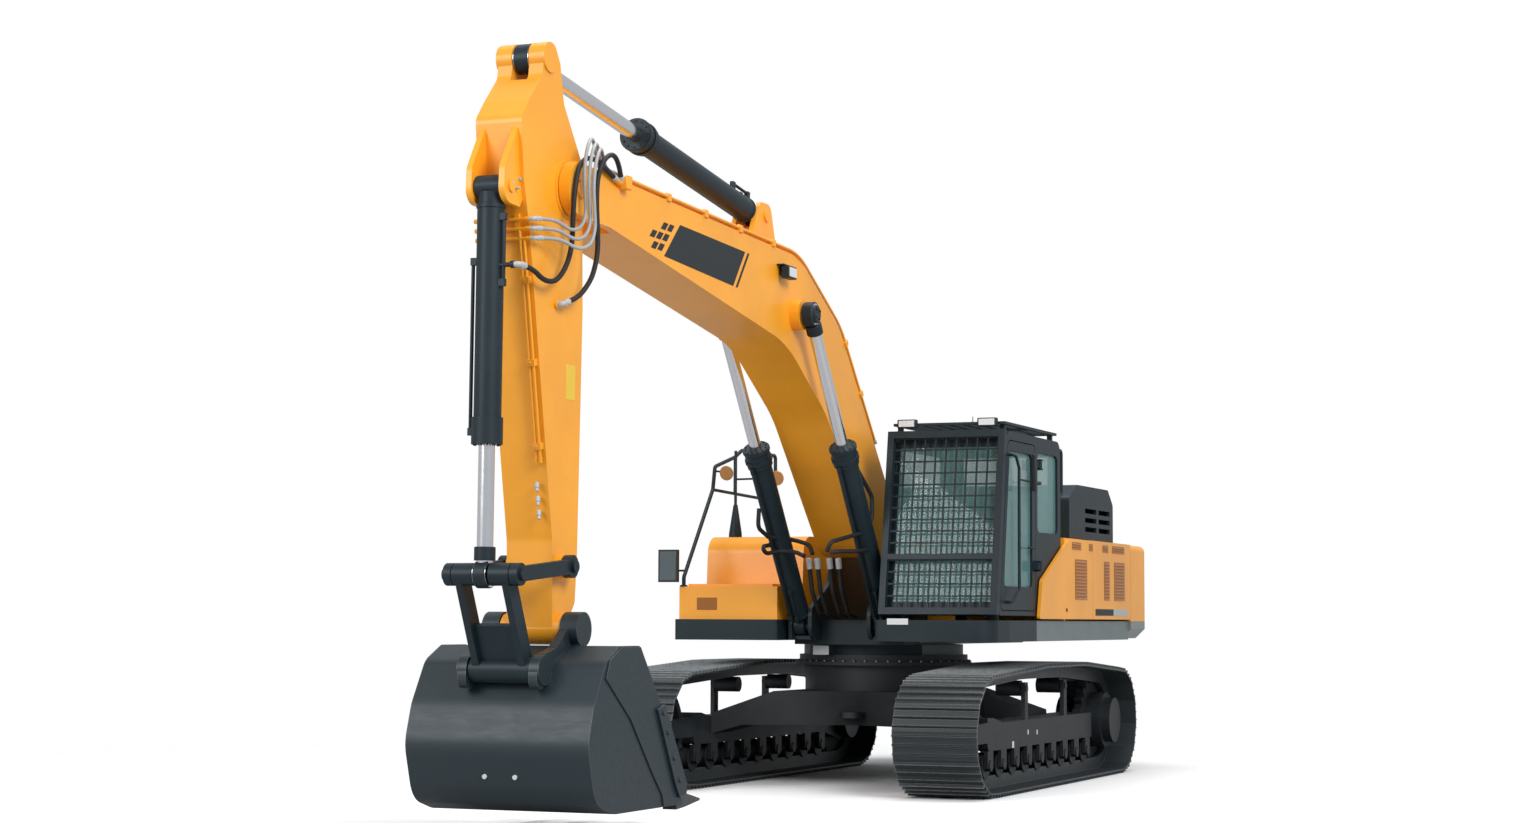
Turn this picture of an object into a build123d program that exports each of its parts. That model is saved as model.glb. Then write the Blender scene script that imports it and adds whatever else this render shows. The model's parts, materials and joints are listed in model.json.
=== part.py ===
from build123d import *
from math import asin, atan2, cos, degrees, hypot, pi, radians, sin
import os

# Crawler excavator of the 36 tonne class, in millimetres.
# Origin: on the ground under the swing axis. +X to the bucket, +Y to the cab side, +Z up.

# Clearances
PIN_GAP = 0.1  # running fit of a pin in its bore, on the radius
SEAT_GAP = 0.3  # between a fixed round part and its seat
SIDE_GAP = 6.0  # between plates that turn past each other

# Tracks
TRACK_GAUGE = 2590.0
SHOE_WIDTH = 700.0
SHOE_COUNT = 50
SHOE_PLATE = 12.0
GROUSER_HEIGHT = 26.0
GROUSER_FOOT = 22.0
GROUSER_PLACES = (0.16, 0.5, 0.84)  # along one shoe
RAIL_DEPTH = 100.0
RAIL_INNER = 55.0  # half the gap between the two chain rails
RAIL_OUTER = 100.0
IDLER_X = 2015.0
SPROCKET_X = -2035.0
WHEEL_Z = 485.0
CARRIER_XS = (460.0, -740.0)
CARRIER_TOP_Z = 904.0
CARRIER_RADIUS = 66.0
CARRIER_PATH_RADIUS = 175.0
ROLLER_COUNT = 9
ROLLER_FIRST_X = -1480.0
ROLLER_PITCH = 370.0
ROLLER_RADIUS = 88.0
ROLLER_FLANGE = 108.0
ROLLER_COLLAR = 45.0
SPROCKET_TEETH = 21
SPROCKET_ROOT = 352.0
SPROCKET_TIP = 402.0
SPROCKET_HALF = 39.0

SHOE_INSIDE = GROUSER_HEIGHT + SHOE_PLATE
PATH_RADIUS = WHEEL_Z - SHOE_INSIDE
RAIL_TOP = SHOE_INSIDE + RAIL_DEPTH
ROLLER_Z = RAIL_TOP + SEAT_GAP + ROLLER_RADIUS
CARRIER_Z = CARRIER_TOP_Z + RAIL_DEPTH - CARRIER_PATH_RADIUS
TRACK_Y = TRACK_GAUGE / 2
# a straight shoe cuts the corner of the wheel, so the idler is that much smaller
SHOE_PITCH_NEAR = 218.0
IDLER_RADIUS = PATH_RADIUS - SHOE_PITCH_NEAR**2 / 8 / PATH_RADIUS - RAIL_DEPTH - 2 * SEAT_GAP

# Track frames and carbody
FRAME_HALF = 150.0
FRAME_BOTTOM = 345.0
FRAME_TOP = 565.0
FRAME_REAR_X = -1612.0
FRAME_FRONT_X = 1560.0
YOKE_INNER = 114.0
AXLE_RADIUS = 60.0
CARBODY_BOTTOM = 500.0
CARBODY_TOP = 790.0
DRUM_RADIUS = 690.0
DRUM_TOP = 1010.0
LEG_INNER = (520.0, 760.0)  # where the two edges of a leg meet the middle, as (x, y)
LEG_OUTER = (980.0, 560.0)
TOW_X = 830.0
TOW_Z = 590.0
TOW_RADIUS = 32.0
TOW_HALF = 25.0
RING_RADIUS = 740.0
RING_BORE = 540.0
RING_TOP = 1100.0

# Upper structure
RING_GAP = 0.5
FRAME_UNDER = 1190.0
SKIRT_UNDER = 1225.0
DECK_TOP = 1400.0
HOUSE_TOP = 2126.0
HOUSE_FRONT_X = -380.0
SIDE_Y = 1568.0
RIGHT_SIDE_Y = 1412.0
SKIN = 28.0
DECK_SIDE_Y = 1540.0
BOX_TOP = 1680.0
HOOD_FRONT_X = -1060.0
TAIL_RADIUS = 3570.0
COUNTERWEIGHT_DEPTH = 958.0
HOUSE_REAR_X = COUNTERWEIGHT_DEPTH - TAIL_RADIUS
LIFT_X = HOUSE_REAR_X - 448
LIFT_Y = 900.0
LIFT_RADIUS = 18.0
LIFT_DEPTH = 90.0
TOWER_INNER = 248.0
TOWER_OUTER = 282.0

# Cab
CAB_RIGHT_Y = 548.0
CAB_LEFT_Y = 1530.0
CAB_WALL = 50.0
CAB_FLOOR = 1440.0
CAB_ROOF = 2960.0
REAR_SILL = CAB_FLOOR + 710
CAB_REAR_X = -310.0
DOOR_REAR_X = 470.0
DOOR_GAP = 8.0
DOOR_HINGE = (492.0, 1582.0)
DOOR_HINGE_ZS = (CAB_FLOOR + 390, CAB_ROOF - 270)

# Linkage pins, as (x, z)
BOOM_FOOT = (370.0, 2060.0)
ARM_PIN = (6650.0, 4215.0)
BUCKET_PIN = (6725.0, 1330.0)
TAIL_PIN = (6950.0, 5040.0)
BOOM_CYLINDER_BASE = (1010.0, 1350.0)
BOOM_ROD_PIN = (2790.0, 3800.0)
ARM_CYLINDER_BASE = (3050.0, 4560.0)
BUCKET_CYLINDER_BASE = (7415.0, 4128.0)
ARM_LINK_PIN = (6716.0, 1735.0)
LINK_TOP_PIN = (7445.0, 1672.0)
LINK_LOW_PIN = (7167.0, 1072.0)
BOOM_CYLINDER_Y = 380.0

BOOM_HALF = 240.0
ARM_HALF = 165.0
FORK_INNER = ARM_HALF + 7 + SIDE_GAP
BUCKET_HALF = 650.0
EAR_INNER = 222.0
EAR_OUTER = 282.0


# Helpers: an outline row is (x, z, corner radius)
def face_xz(rows):
    points = [(x, 0, z) for x, z, r in rows]
    return make_face(FilletPolyline(*points, radius=[r for x, z, r in rows], close=True))


def slab(rows, y0, y1):
    return Pos(0, y0, 0) * extrude(face_xz(rows), amount=y1 - y0, dir=(0, 1, 0))


def block(x0, x1, y0, y1, z0, z1):
    return Pos((x0 + x1) / 2, (y0 + y1) / 2, (z0 + z1) / 2) * Box(x1 - x0, y1 - y0, z1 - z0)


def round_y(pin, radius, y0, y1):
    return Pos(pin[0], (y0 + y1) / 2, pin[1]) * Rot(90, 0, 0) * Cylinder(radius, y1 - y0)


def round_z(x, y, radius, z0, z1):
    return Pos(x, y, (z0 + z1) / 2) * Cylinder(radius, z1 - z0)


def both(shape):
    return shape + mirror(shape, about=Plane.XZ)


def tube(points, radius, bend):
    path = FilletPolyline(*points, radius=bend) if bend else Polyline(*points)
    start = Plane(origin=path @ 0, z_dir=path % 0)
    return sweep(start * Circle(radius), path=path)


def along(base, tip, start, end, radius, y=0.0):
    """A round bar on the line from base to tip, between two distances from base."""
    angle = atan2(tip[1] - base[1], tip[0] - base[0])
    middle = (start + end) / 2
    x = base[0] + middle * cos(angle)
    z = base[1] + middle * sin(angle)
    return Pos(x, y, z) * Rot(0, 90 - degrees(angle), 0) * Cylinder(radius, end - start)


def span(a, b):
    return hypot(b[0] - a[0], b[1] - a[1])


def dogbone(a, b, radius_a, radius_b, width, y0, y1):
    angle = atan2(b[1] - a[1], b[0] - a[0])
    nx = -sin(angle) * width / 2
    nz = cos(angle) * width / 2
    rows = [(a[0] + nx, a[1] + nz, 0), (b[0] + nx, b[1] + nz, 0), (b[0] - nx, b[1] - nz, 0), (a[0] - nx, a[1] - nz, 0)]
    return slab(rows, y0, y1) + round_y(a, radius_a, y0, y1) + round_y(b, radius_b, y0, y1)


# Tracks
def belt(circles, count):
    """Evenly spaced points on a belt that runs round circles given as (x, z, radius)."""
    runs = []
    total = len(circles)
    angles = []
    for i in range(total):
        ax, az, ar = circles[i]
        bx, bz, br = circles[(i + 1) % total]
        angles.append(atan2(bz - az, bx - ax) + asin((ar - br) / hypot(bx - ax, bz - az)))
    for i in range(total):
        ax, az, ar = circles[i]
        bx, bz, br = circles[(i + 1) % total]
        turn = angles[i]
        start = (ax + ar * sin(turn), az - ar * cos(turn))
        end = (bx + br * sin(turn), bz - br * cos(turn))
        runs.append(("line", start, end, hypot(end[0] - start[0], end[1] - start[1])))
        swing = (angles[(i + 1) % total] - turn) % (2 * pi)
        runs.append(("arc", circles[(i + 1) % total], (turn, swing), br * swing))
    length = sum(run[3] for run in runs)
    points = []
    for i in range(count):
        s = length * i / count
        for kind, first, second, run_length in runs:
            if s < run_length or run_length == runs[-1][3] and s <= run_length:
                break
            s -= run_length
        if kind == "line":
            part = s / run_length
            points.append((first[0] + (second[0] - first[0]) * part, first[1] + (second[1] - first[1]) * part))
        else:
            angle = second[0] + s / first[2]
            points.append((first[0] + first[2] * sin(angle), first[1] - first[2] * cos(angle)))
    return points


def outward(a, b):
    length = hypot(b[0] - a[0], b[1] - a[1])
    return (b[1] - a[1]) / length, -(b[0] - a[0]) / length


def ring_points(points, offset):
    """The belt's corners moved outwards by offset, with those on straight runs left out."""
    moved = []
    count = len(points)
    for i in range(count):
        n0 = outward(points[i - 1], points[i])
        n1 = outward(points[i], points[(i + 1) % count])
        bend = n0[0] * n1[0] + n0[1] * n1[1]
        if bend < 1 - 1e-9:
            scale = offset / (1 + bend)
            moved.append((points[i][0] + (n0[0] + n1[0]) * scale, points[i][1] + (n0[1] + n1[1]) * scale))
    return moved


def polygon_face(points):
    return make_face(Polyline(*[(x, 0, z) for x, z in points], close=True))


def make_track(y):
    circles = [(SPROCKET_X, WHEEL_Z, PATH_RADIUS), (IDLER_X, WHEEL_Z, PATH_RADIUS)]
    circles += [(x, CARRIER_Z, CARRIER_PATH_RADIUS) for x in CARRIER_XS]
    pins = belt(circles, SHOE_COUNT)
    outer = []
    for i in range(SHOE_COUNT):
        a = pins[i]
        b = pins[(i + 1) % SHOE_COUNT]
        n = outward(a, b)
        n0 = outward(pins[i - 1], a)
        t = (-n[1], n[0])
        pitch = hypot(b[0] - a[0], b[1] - a[1])
        corner = SHOE_PLATE / (1 + n0[0] * n[0] + n0[1] * n[1])
        outer.append((a[0] + (n0[0] + n[0]) * corner, a[1] + (n0[1] + n[1]) * corner))
        for place in GROUSER_PLACES:
            for side, height in ((-GROUSER_FOOT / 2, 0), (0, GROUSER_HEIGHT), (GROUSER_FOOT / 2, 0)):
                s = pitch * place + side
                h = SHOE_PLATE + height
                outer.append((a[0] + t[0] * s + n[0] * h, a[1] + t[1] * s + n[1] * h))
    shoes = polygon_face(outer) - polygon_face(ring_points(pins, 0))
    rail = polygon_face(ring_points(pins, SHOE_PLATE / 2)) - polygon_face(ring_points(pins, -RAIL_DEPTH))
    track = Pos(0, y - SHOE_WIDTH / 2, 0) * extrude(shoes, amount=SHOE_WIDTH, dir=(0, 1, 0))
    for y0 in (-RAIL_OUTER, RAIL_INNER):
        track += Pos(0, y + y0, 0) * extrude(rail, amount=RAIL_OUTER - RAIL_INNER, dir=(0, 1, 0))
    return track


def make_track_frame(y):
    side = 1 if y > 0 else -1
    body = slab(
        [(FRAME_REAR_X, FRAME_BOTTOM, 0), (FRAME_REAR_X, FRAME_TOP, 40), (1150, FRAME_TOP, 200),
         (1400, 610, 100), (FRAME_FRONT_X, 610, 0), (FRAME_FRONT_X, FRAME_BOTTOM, 60)],
        y - FRAME_HALF, y + FRAME_HALF)
    for x0, x1 in ((-YOKE_INNER, -FRAME_HALF), (YOKE_INNER, FRAME_HALF)):
        ys = sorted((y + x0, y + x1))
        body += slab([(1400, 410, 0), (1400, 580, 0), (IDLER_X + 105, 560, 60), (IDLER_X + 105, 410, 60)], *ys)
    idler = (IDLER_X, WHEEL_Z)
    body -= round_y(idler, AXLE_RADIUS + SEAT_GAP, y - 200, y + 200)
    # motor side plate, on the inside of the track
    inner = sorted((y - side * YOKE_INNER, y - side * FRAME_HALF))
    body += slab([(FRAME_REAR_X + 112, FRAME_BOTTOM, 0), (FRAME_REAR_X + 112, FRAME_TOP, 0),
                  (SPROCKET_X, WHEEL_Z + 245, 240), (SPROCKET_X - 245, WHEEL_Z, 200),
                  (SPROCKET_X, WHEEL_Z - 245, 240)], *inner)
    hub = sorted((y - side * (SPROCKET_HALF + SEAT_GAP), y - side * 250))
    body += round_y((SPROCKET_X, WHEEL_Z), 215, *hub)
    for i in range(ROLLER_COUNT):
        x = ROLLER_FIRST_X + i * ROLLER_PITCH
        for y0, y1 in ((-FRAME_HALF, -118), (118, FRAME_HALF)):
            body += block(x - 75, x + 75, y + y0, y + y1, ROLLER_Z - 20, FRAME_BOTTOM)
        body -= round_y((x, ROLLER_Z), ROLLER_COLLAR + SEAT_GAP, y - FRAME_HALF, y + FRAME_HALF)
    for x in CARRIER_XS:
        ys = sorted((y + side * YOKE_INNER, y + side * FRAME_HALF))
        body += block(x - 45, x + 45, *ys, FRAME_TOP, CARRIER_Z + 50)
        body -= round_y((x, CARRIER_Z), 30 + SEAT_GAP, y - 200, y + 200)
    return body


def make_idler(y):
    centre = (IDLER_X, WHEEL_Z)
    wheel = round_y(centre, IDLER_RADIUS, y - 104, y + 104)
    wheel += round_y(centre, IDLER_RADIUS + 45, y - RAIL_INNER + 5, y + RAIL_INNER - 5)
    dish = round_y(centre, IDLER_RADIUS - 60, 0, 50) - round_y(centre, 120, 0, 50)
    wheel -= Pos(0, y - 104, 0) * dish
    wheel -= Pos(0, y + 54, 0) * dish
    return wheel + round_y(centre, AXLE_RADIUS, y - 170, y + 170)


def make_sprocket(y):
    side = 1 if y > 0 else -1
    points = []
    for i in range(SPROCKET_TEETH):
        for part, radius in ((-0.32, SPROCKET_ROOT), (-0.12, SPROCKET_TIP), (0.12, SPROCKET_TIP), (0.32, SPROCKET_ROOT)):
            angle = 2 * pi * (i + part) / SPROCKET_TEETH
            points.append((SPROCKET_X + radius * sin(angle), WHEEL_Z - radius * cos(angle)))
    disc = extrude(polygon_face(points), amount=2 * SPROCKET_HALF, dir=(0, 1, 0))
    centre = (SPROCKET_X, WHEEL_Z)
    drive = Pos(0, y - SPROCKET_HALF, 0) * disc
    drive += round_y(centre, 250, *sorted((y + side * SPROCKET_HALF, y + side * 180)))
    cover = round_y(centre, 205, *sorted((y + side * 180, y + side * 262)))
    return drive + cover


def make_rollers(y):
    rollers = Part()
    for i in range(ROLLER_COUNT):
        centre = (ROLLER_FIRST_X + i * ROLLER_PITCH, ROLLER_Z)
        rollers += round_y(centre, ROLLER_RADIUS, y - 112, y + 112)
        for y0, y1 in ((-112, -102), (102, 112)):
            rollers += round_y(centre, ROLLER_FLANGE, y + y0, y + y1)
        rollers += round_y(centre, ROLLER_COLLAR, y - 158, y + 158)
    side = 1 if y > 0 else -1
    for x in CARRIER_XS:
        rollers += round_y((x, CARRIER_Z), CARRIER_RADIUS, y - 104, y + 104)
        rollers += round_y((x, CARRIER_Z), 30, *sorted((y, y + side * 158)))
    return rollers


def leg_slope():
    """The carbody's section from side to side, which also slopes the legs."""
    reach = TRACK_Y - FRAME_HALF
    half = [(reach, 425), (reach, 600), (640, CARBODY_TOP)]
    section = half + [(-640, CARBODY_TOP), (-reach, 600), (-reach, 425), (-900, CARBODY_BOTTOM), (900, CARBODY_BOTTOM)]
    return Pos(-1300, 0, 0) * extrude(make_face(Polyline(*[(0, y, z) for y, z in section], close=True)),
                                      amount=2600, dir=(1, 0, 0))


def make_carbody():
    plan = [(LEG_INNER[0], LEG_INNER[1]), (LEG_OUTER[0], LEG_OUTER[1]), (720, 0), (LEG_OUTER[0], -LEG_OUTER[1]),
            (LEG_INNER[0], -LEG_INNER[1])]
    plan += [(-x, y) for x, y in plan[::-1]]
    body = Pos(0, 0, CARBODY_BOTTOM - 100) * extrude(make_face(Polyline(*plan, close=True)), amount=400)
    plate = make_face(FilletPolyline((680, -110), (TOW_X + 80, -80), (TOW_X + 80, 80), (680, 110),
                                     radius=[0, 60, 60, 0], close=True))
    lug = Pos(0, 0, TOW_Z - TOW_HALF) * extrude(plate, amount=2 * TOW_HALF)
    lug -= round_z(TOW_X, 0, TOW_RADIUS, TOW_Z - 100, TOW_Z + 100)
    drum = round_z(0, 0, DRUM_RADIUS, CARBODY_TOP - 60, DRUM_TOP)
    return (body & leg_slope()) + drum + lug + mirror(lug, about=Plane.YZ)


def make_carbody_legs():
    reach = TRACK_Y - FRAME_HALF
    plan = make_face(Polyline(LEG_INNER, (760, reach), (1180, reach), LEG_OUTER, close=True))
    leg = (Pos(0, 0, CARBODY_BOTTOM - 100) * extrude(plan, amount=400)) & leg_slope()
    pair = both(leg)
    return pair + mirror(pair, about=Plane.YZ)


def make_slew_ring():
    ring = round_z(0, 0, RING_RADIUS, DRUM_TOP, RING_TOP) + round_z(0, 0, RING_RADIUS + 35, DRUM_TOP, DRUM_TOP + 30)
    return ring - round_z(0, 0, RING_BORE, DRUM_TOP - 1, RING_TOP + 1)


# Upper structure
def make_upper_frame():
    left = make_face(FilletPolyline(
        (HOUSE_REAR_X, 496), (1640, 496), (1640, 1500), (1250, DECK_SIDE_Y), (HOUSE_REAR_X, DECK_SIDE_Y),
        radius=[0, 40, 180, 120, 0], close=True))
    right = make_face(FilletPolyline(
        (HOUSE_REAR_X, -496), (1290, -496), (1390, -RIGHT_SIDE_Y), (HOUSE_REAR_X, -RIGHT_SIDE_Y),
        radius=[0, 30, 40, 0], close=True))
    frame = Pos(0, 0, SKIRT_UNDER) * extrude(left, amount=DECK_TOP - SKIRT_UNDER)
    frame += Pos(0, 0, SKIRT_UNDER) * extrude(right, amount=DECK_TOP - SKIRT_UNDER)
    frame += block(HOUSE_REAR_X, 880, -497, 497, FRAME_UNDER, DECK_TOP)
    frame += round_z(0, 0, RING_RADIUS - 40, RING_TOP + RING_GAP, FRAME_UNDER)
    tower = slab([(HOUSE_FRONT_X + 10, DECK_TOP - 20, 0), (HOUSE_FRONT_X + 10, 1560, 0), (170, 2215, 150),
                  (530, 2215, 150), (690, 1700, 200), (1125, 1500, 110), (1125, 1232, 110), (860, 1232, 0),
                  (700, 1300, 0), (700, DECK_TOP - 20, 0)], TOWER_INNER, TOWER_OUTER)
    lug = slab([(860, 1232, 0), (905, 1455, 100), (1115, 1455, 100), (1115, 1232, 0)], 432, 464)
    lug += block(780, 1060, TOWER_OUTER - 5, 464, 1232, 1262)
    pin = round_y(BOOM_CYLINDER_BASE, 50, TOWER_INNER + 2, 480)
    frame += both(tower + lug + pin)
    return frame + round_y(BOOM_FOOT, 55, -TOWER_OUTER - 20, TOWER_OUTER + 20)


def make_counterweight():
    plan = make_face(Polyline((HOUSE_REAR_X, -SIDE_Y), (HOUSE_REAR_X, SIDE_Y), (-3600, SIDE_Y), (-3600, -SIDE_Y),
                              close=True)) & Circle(TAIL_RADIUS).face()
    body = Pos(0, 0, SKIRT_UNDER + 10) * extrude(plan, amount=HOUSE_TOP - SKIRT_UNDER - 10)
    upright = [e for e in body.edges() if abs((e % 0.5).Z) > 0.99 and e.center().X < HOUSE_REAR_X - 100]
    body = fillet(upright, 120)
    top = [e for e in body.edges() if e.center().Z > HOUSE_TOP - 1 and e.center().X < HOUSE_REAR_X - 50]
    body = fillet(top, 60)
    low = [e for e in body.edges() if e.center().Z < SKIRT_UNDER + 11 and e.center().X < HOUSE_REAR_X - 50]
    body = chamfer(low, 90)
    for y in (-LIFT_Y, LIFT_Y):
        body -= round_z(LIFT_X, y, LIFT_RADIUS, HOUSE_TOP - LIFT_DEPTH, HOUSE_TOP + 1)
    return body


def make_house():
    top = block(HOUSE_REAR_X, HOUSE_FRONT_X, -RIGHT_SIDE_Y, DECK_SIDE_Y, HOUSE_TOP - SKIN, HOUSE_TOP)
    top -= block(HOUSE_REAR_X + 112, -1200, -750, 1250, HOUSE_TOP - 100, HOUSE_TOP + 10)
    front = block(HOUSE_FRONT_X - SKIN, HOUSE_FRONT_X, -RIGHT_SIDE_Y, DECK_SIDE_Y, DECK_TOP, HOUSE_TOP - SKIN)
    right = block(-1290, HOUSE_FRONT_X, -RIGHT_SIDE_Y - SKIN, -RIGHT_SIDE_Y, DECK_TOP, HOUSE_TOP)
    return top + front + right


def make_engine():
    return block(HOUSE_REAR_X + 462, -1250, -500, 700, DECK_TOP, HOUSE_TOP - 76)


def make_engine_hood():
    foot = HOUSE_TOP + SEAT_GAP
    rear = HOUSE_REAR_X + 12
    shoulder = foot + 374
    top = foot + 514
    outer = slab([(rear, foot, 0), (rear, shoulder, 60), (rear + 180, top, 60), (HOOD_FRONT_X - 270, top, 60),
                  (HOOD_FRONT_X, top - 120, 60), (HOOD_FRONT_X, foot, 0)], -900, 1400)
    inner = slab([(rear + SKIN, foot, 0), (rear + SKIN, shoulder - SKIN, 30), (rear + 180 + SKIN, top - SKIN, 30),
                  (HOOD_FRONT_X - 270 - SKIN, top - SKIN, 30), (HOOD_FRONT_X - SKIN, top - 120 - SKIN, 30),
                  (HOOD_FRONT_X - SKIN, foot, 0)], -900 + SKIN, 1400 - SKIN)
    hood = outer - inner
    length = HOOD_FRONT_X - rear
    for i in range(3):
        z = foot + 94 + i * 85
        for x in (rear + 0.08 * length, rear + 0.39 * length):
            hood -= block(x, x + 0.26 * length, 1400 - 2 * SKIN, 1410, z, z + 45)
    return hood


def make_exhaust_stack():
    foot = HOUSE_TOP + SEAT_GAP
    return round_z(-700, -620, 105, foot, 2300) + round_z(-700, -620, 75, 2300, 2560)


def make_left_front_door():
    return slab([(470, DECK_TOP + 14, 20), (388, 1740, 60), (-454, HOUSE_TOP - 14, 160), (-1240, HOUSE_TOP, 0),
                 (-1240, DECK_TOP + 14, 0)], SIDE_Y - SKIN, SIDE_Y)


def service_door(x0, x1, y0, y1):
    return block(x0, x1, y0, y1, DECK_TOP + 14, HOUSE_TOP)


def make_tank():
    rows = [(-350, DECK_TOP, 0), (-350, HOUSE_TOP, 60), (650, HOUSE_TOP, 160), (700, DECK_TOP, 0)]
    return slab(rows, -RIGHT_SIDE_Y, -505)


def make_tool_box():
    outer = block(706, 1270, -RIGHT_SIDE_Y, -505, DECK_TOP, BOX_TOP)
    outer -= block(726, 1250, -RIGHT_SIDE_Y + 20, -525, DECK_TOP + 20, BOX_TOP - 20)
    return outer - block(790, 1200, -RIGHT_SIDE_Y + 90, -590, BOX_TOP - 30, BOX_TOP + 10)


def make_tool_box_lid():
    return block(765, 1225, -RIGHT_SIDE_Y + 65, -565, BOX_TOP + SEAT_GAP, BOX_TOP + 22)


def cab_rows(inset):
    return [(CAB_REAR_X + inset, CAB_FLOOR + inset, 70), (CAB_REAR_X + inset, CAB_ROOF - inset, 110),
            (1300 - inset, CAB_ROOF - inset, 130), (1545 - inset * 1.2, CAB_FLOOR + inset, 60)]


def door_rows(inset):
    rear = DOOR_REAR_X + inset
    return [(rear, CAB_FLOOR + 45 + inset, 60), (rear, CAB_ROOF - 80 - inset, 60),
            (1255 - inset, CAB_ROOF - 80 - inset, 90), (1478 - inset, CAB_FLOOR + 45 + inset, 60)]


def right_window_rows(inset):
    low = CAB_FLOOR + 510 + inset
    high = CAB_ROOF - 140 - inset
    return [(60 + inset, low, 60), (60 + inset, high, 60), (1180 - inset, high, 80), (1330 - inset * 1.2, low, 60)]


def left_window_rows(inset):
    low = REAR_SILL + inset
    high = CAB_ROOF - 130 - inset
    return [(-220 + inset, low, 60), (-220 + inset, high, 60), (400 - inset, high, 60), (400 - inset, low, 60)]


def door_window_rows(inset):
    low = CAB_FLOOR + 240 + inset
    high = CAB_ROOF - 160 - inset
    return [(560 + inset, low, 50), (560 + inset, high, 50), (1200 - inset, high, 70), (1375 - inset * 1.2, low, 50)]


def make_cab():
    shell = slab(cab_rows(0), CAB_RIGHT_Y, CAB_LEFT_Y)
    shell -= slab(cab_rows(CAB_WALL), CAB_RIGHT_Y + CAB_WALL, CAB_LEFT_Y - CAB_WALL)
    shell -= block(1150, 1700, CAB_RIGHT_Y + 70, CAB_LEFT_Y - 70, CAB_FLOOR + 110, CAB_ROOF - 130)
    shell -= block(-400, -200, CAB_RIGHT_Y + 100, CAB_LEFT_Y - 100, REAR_SILL, CAB_ROOF - 130)
    shell -= slab(right_window_rows(0), CAB_RIGHT_Y - 5, CAB_RIGHT_Y + 60)
    shell -= slab(door_rows(-DOOR_GAP), CAB_LEFT_Y - 60, CAB_LEFT_Y + 5)
    shell -= slab(left_window_rows(0), CAB_LEFT_Y - 60, CAB_LEFT_Y + 5)
    feet = Part()
    for x in (-150, 1300):
        for y in (CAB_RIGHT_Y + 120, CAB_LEFT_Y - 120):
            feet += round_z(x, y, 50, DECK_TOP, CAB_FLOOR + 10)
    hx, hy = DOOR_HINGE
    for z in DOOR_HINGE_ZS:
        shell += round_z(hx, hy, 8, z - 15, z + 75)
        for z0, z1 in ((z - 15, z - 1), (z + 61, z + 75)):
            shell += block(430, 460, CAB_LEFT_Y - 5, hy + 8, z0, z1) + block(430, hx, hy - 46, hy + 8, z0, z1)
            shell += round_z(hx, hy, 16, z0, z1)
    return shell + feet


def make_cab_door():
    door = slab(door_rows(0), CAB_LEFT_Y - CAB_WALL, CAB_LEFT_Y)
    door -= slab(door_window_rows(0), CAB_LEFT_Y - 60, CAB_LEFT_Y + 5)
    hx, hy = DOOR_HINGE
    for z in DOOR_HINGE_ZS:
        door += block(hx - 14, hx + 60, CAB_LEFT_Y - 5, hy, z, z + 60)
        door += round_z(hx, hy, 16, z, z + 60)
        door -= round_z(hx, hy, 8 + PIN_GAP, z - 1, z + 61)
    return door


def make_cab_glass():
    low = CAB_FLOOR + 110 + SEAT_GAP
    high = CAB_ROOF - 130 - SEAT_GAP
    front = slab([(1515, low, 0), (1309, high, 0), (1301, high, 0), (1507, low, 0)], CAB_RIGHT_Y + 70 + SEAT_GAP,
                 CAB_LEFT_Y - 70 - SEAT_GAP)
    rear = block(CAB_REAR_X + 20, CAB_REAR_X + 28, CAB_RIGHT_Y + 100 + SEAT_GAP, CAB_LEFT_Y - 100 - SEAT_GAP,
                 REAR_SILL + SEAT_GAP, high)
    right = slab(right_window_rows(SEAT_GAP), CAB_RIGHT_Y + 20, CAB_RIGHT_Y + 28)
    left = slab(left_window_rows(SEAT_GAP), CAB_LEFT_Y - 28, CAB_LEFT_Y - 20)
    return front + rear + right + left


def make_door_glass():
    return slab(door_window_rows(SEAT_GAP), CAB_LEFT_Y - 28, CAB_LEFT_Y - 20)


def make_seat():
    cushion = block(100, 640, 780, 1260, 1820, 1930)
    head = CAB_ROOF - 400
    back = slab([(80, 1840, 0), (-60, head, 40), (60, head, 40), (210, 1840, 0)], 800, 1240)
    base = block(200, 600, 850, 1190, CAB_FLOOR + CAB_WALL, 1820)
    return cushion + back + base


def make_consoles():
    left = block(150, 800, 1290, 1420, CAB_FLOOR + CAB_WALL, 2020)
    right = block(150, 800, 620, 750, CAB_FLOOR + CAB_WALL, 2020)
    return left + right


GUARD_LEAN = atan2(1545 - 1300, CAB_ROOF - CAB_FLOOR)
GUARD_FOOT = (1634.0, CAB_FLOOR + 8)
GUARD_LENGTH = hypot(1545 - 1300, CAB_ROOF - CAB_FLOOR) - 4


def make_front_guard():
    width = 1013.0
    y0 = 532.0
    frame = block(-60, 0, 0, width, 0, GUARD_LENGTH) - block(-70, 10, 55, width - 55, 55, GUARD_LENGTH - 60)
    frame += block(-45, 0, 0, width, 455, 500)
    columns = 10
    cell = (width - 110) / columns
    holes = []
    for z_low, z_high, count in ((55, 455, 4), (500, GUARD_LENGTH - 60, 10)):
        step = (z_high - z_low) / count
        for i in range(columns):
            for j in range(count):
                y = 55 + i * cell
                z = z_low + j * step
                holes.append(block(-50, 0, y + 6, y + cell - 6, z + 6, z + step - 6))
    guard = frame + (block(-40, -22, 50, width - 50, 50, GUARD_LENGTH - 50) - holes)
    for z in (300, 1200):
        guard += block(-88.7, -55, 25, 75, z, z + 60) + block(-88.7, -55, width - 75, width - 25, z, z + 60)
    return Pos(GUARD_FOOT[0], y0, GUARD_FOOT[1]) * Rot(0, -degrees(GUARD_LEAN), 0) * guard


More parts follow.
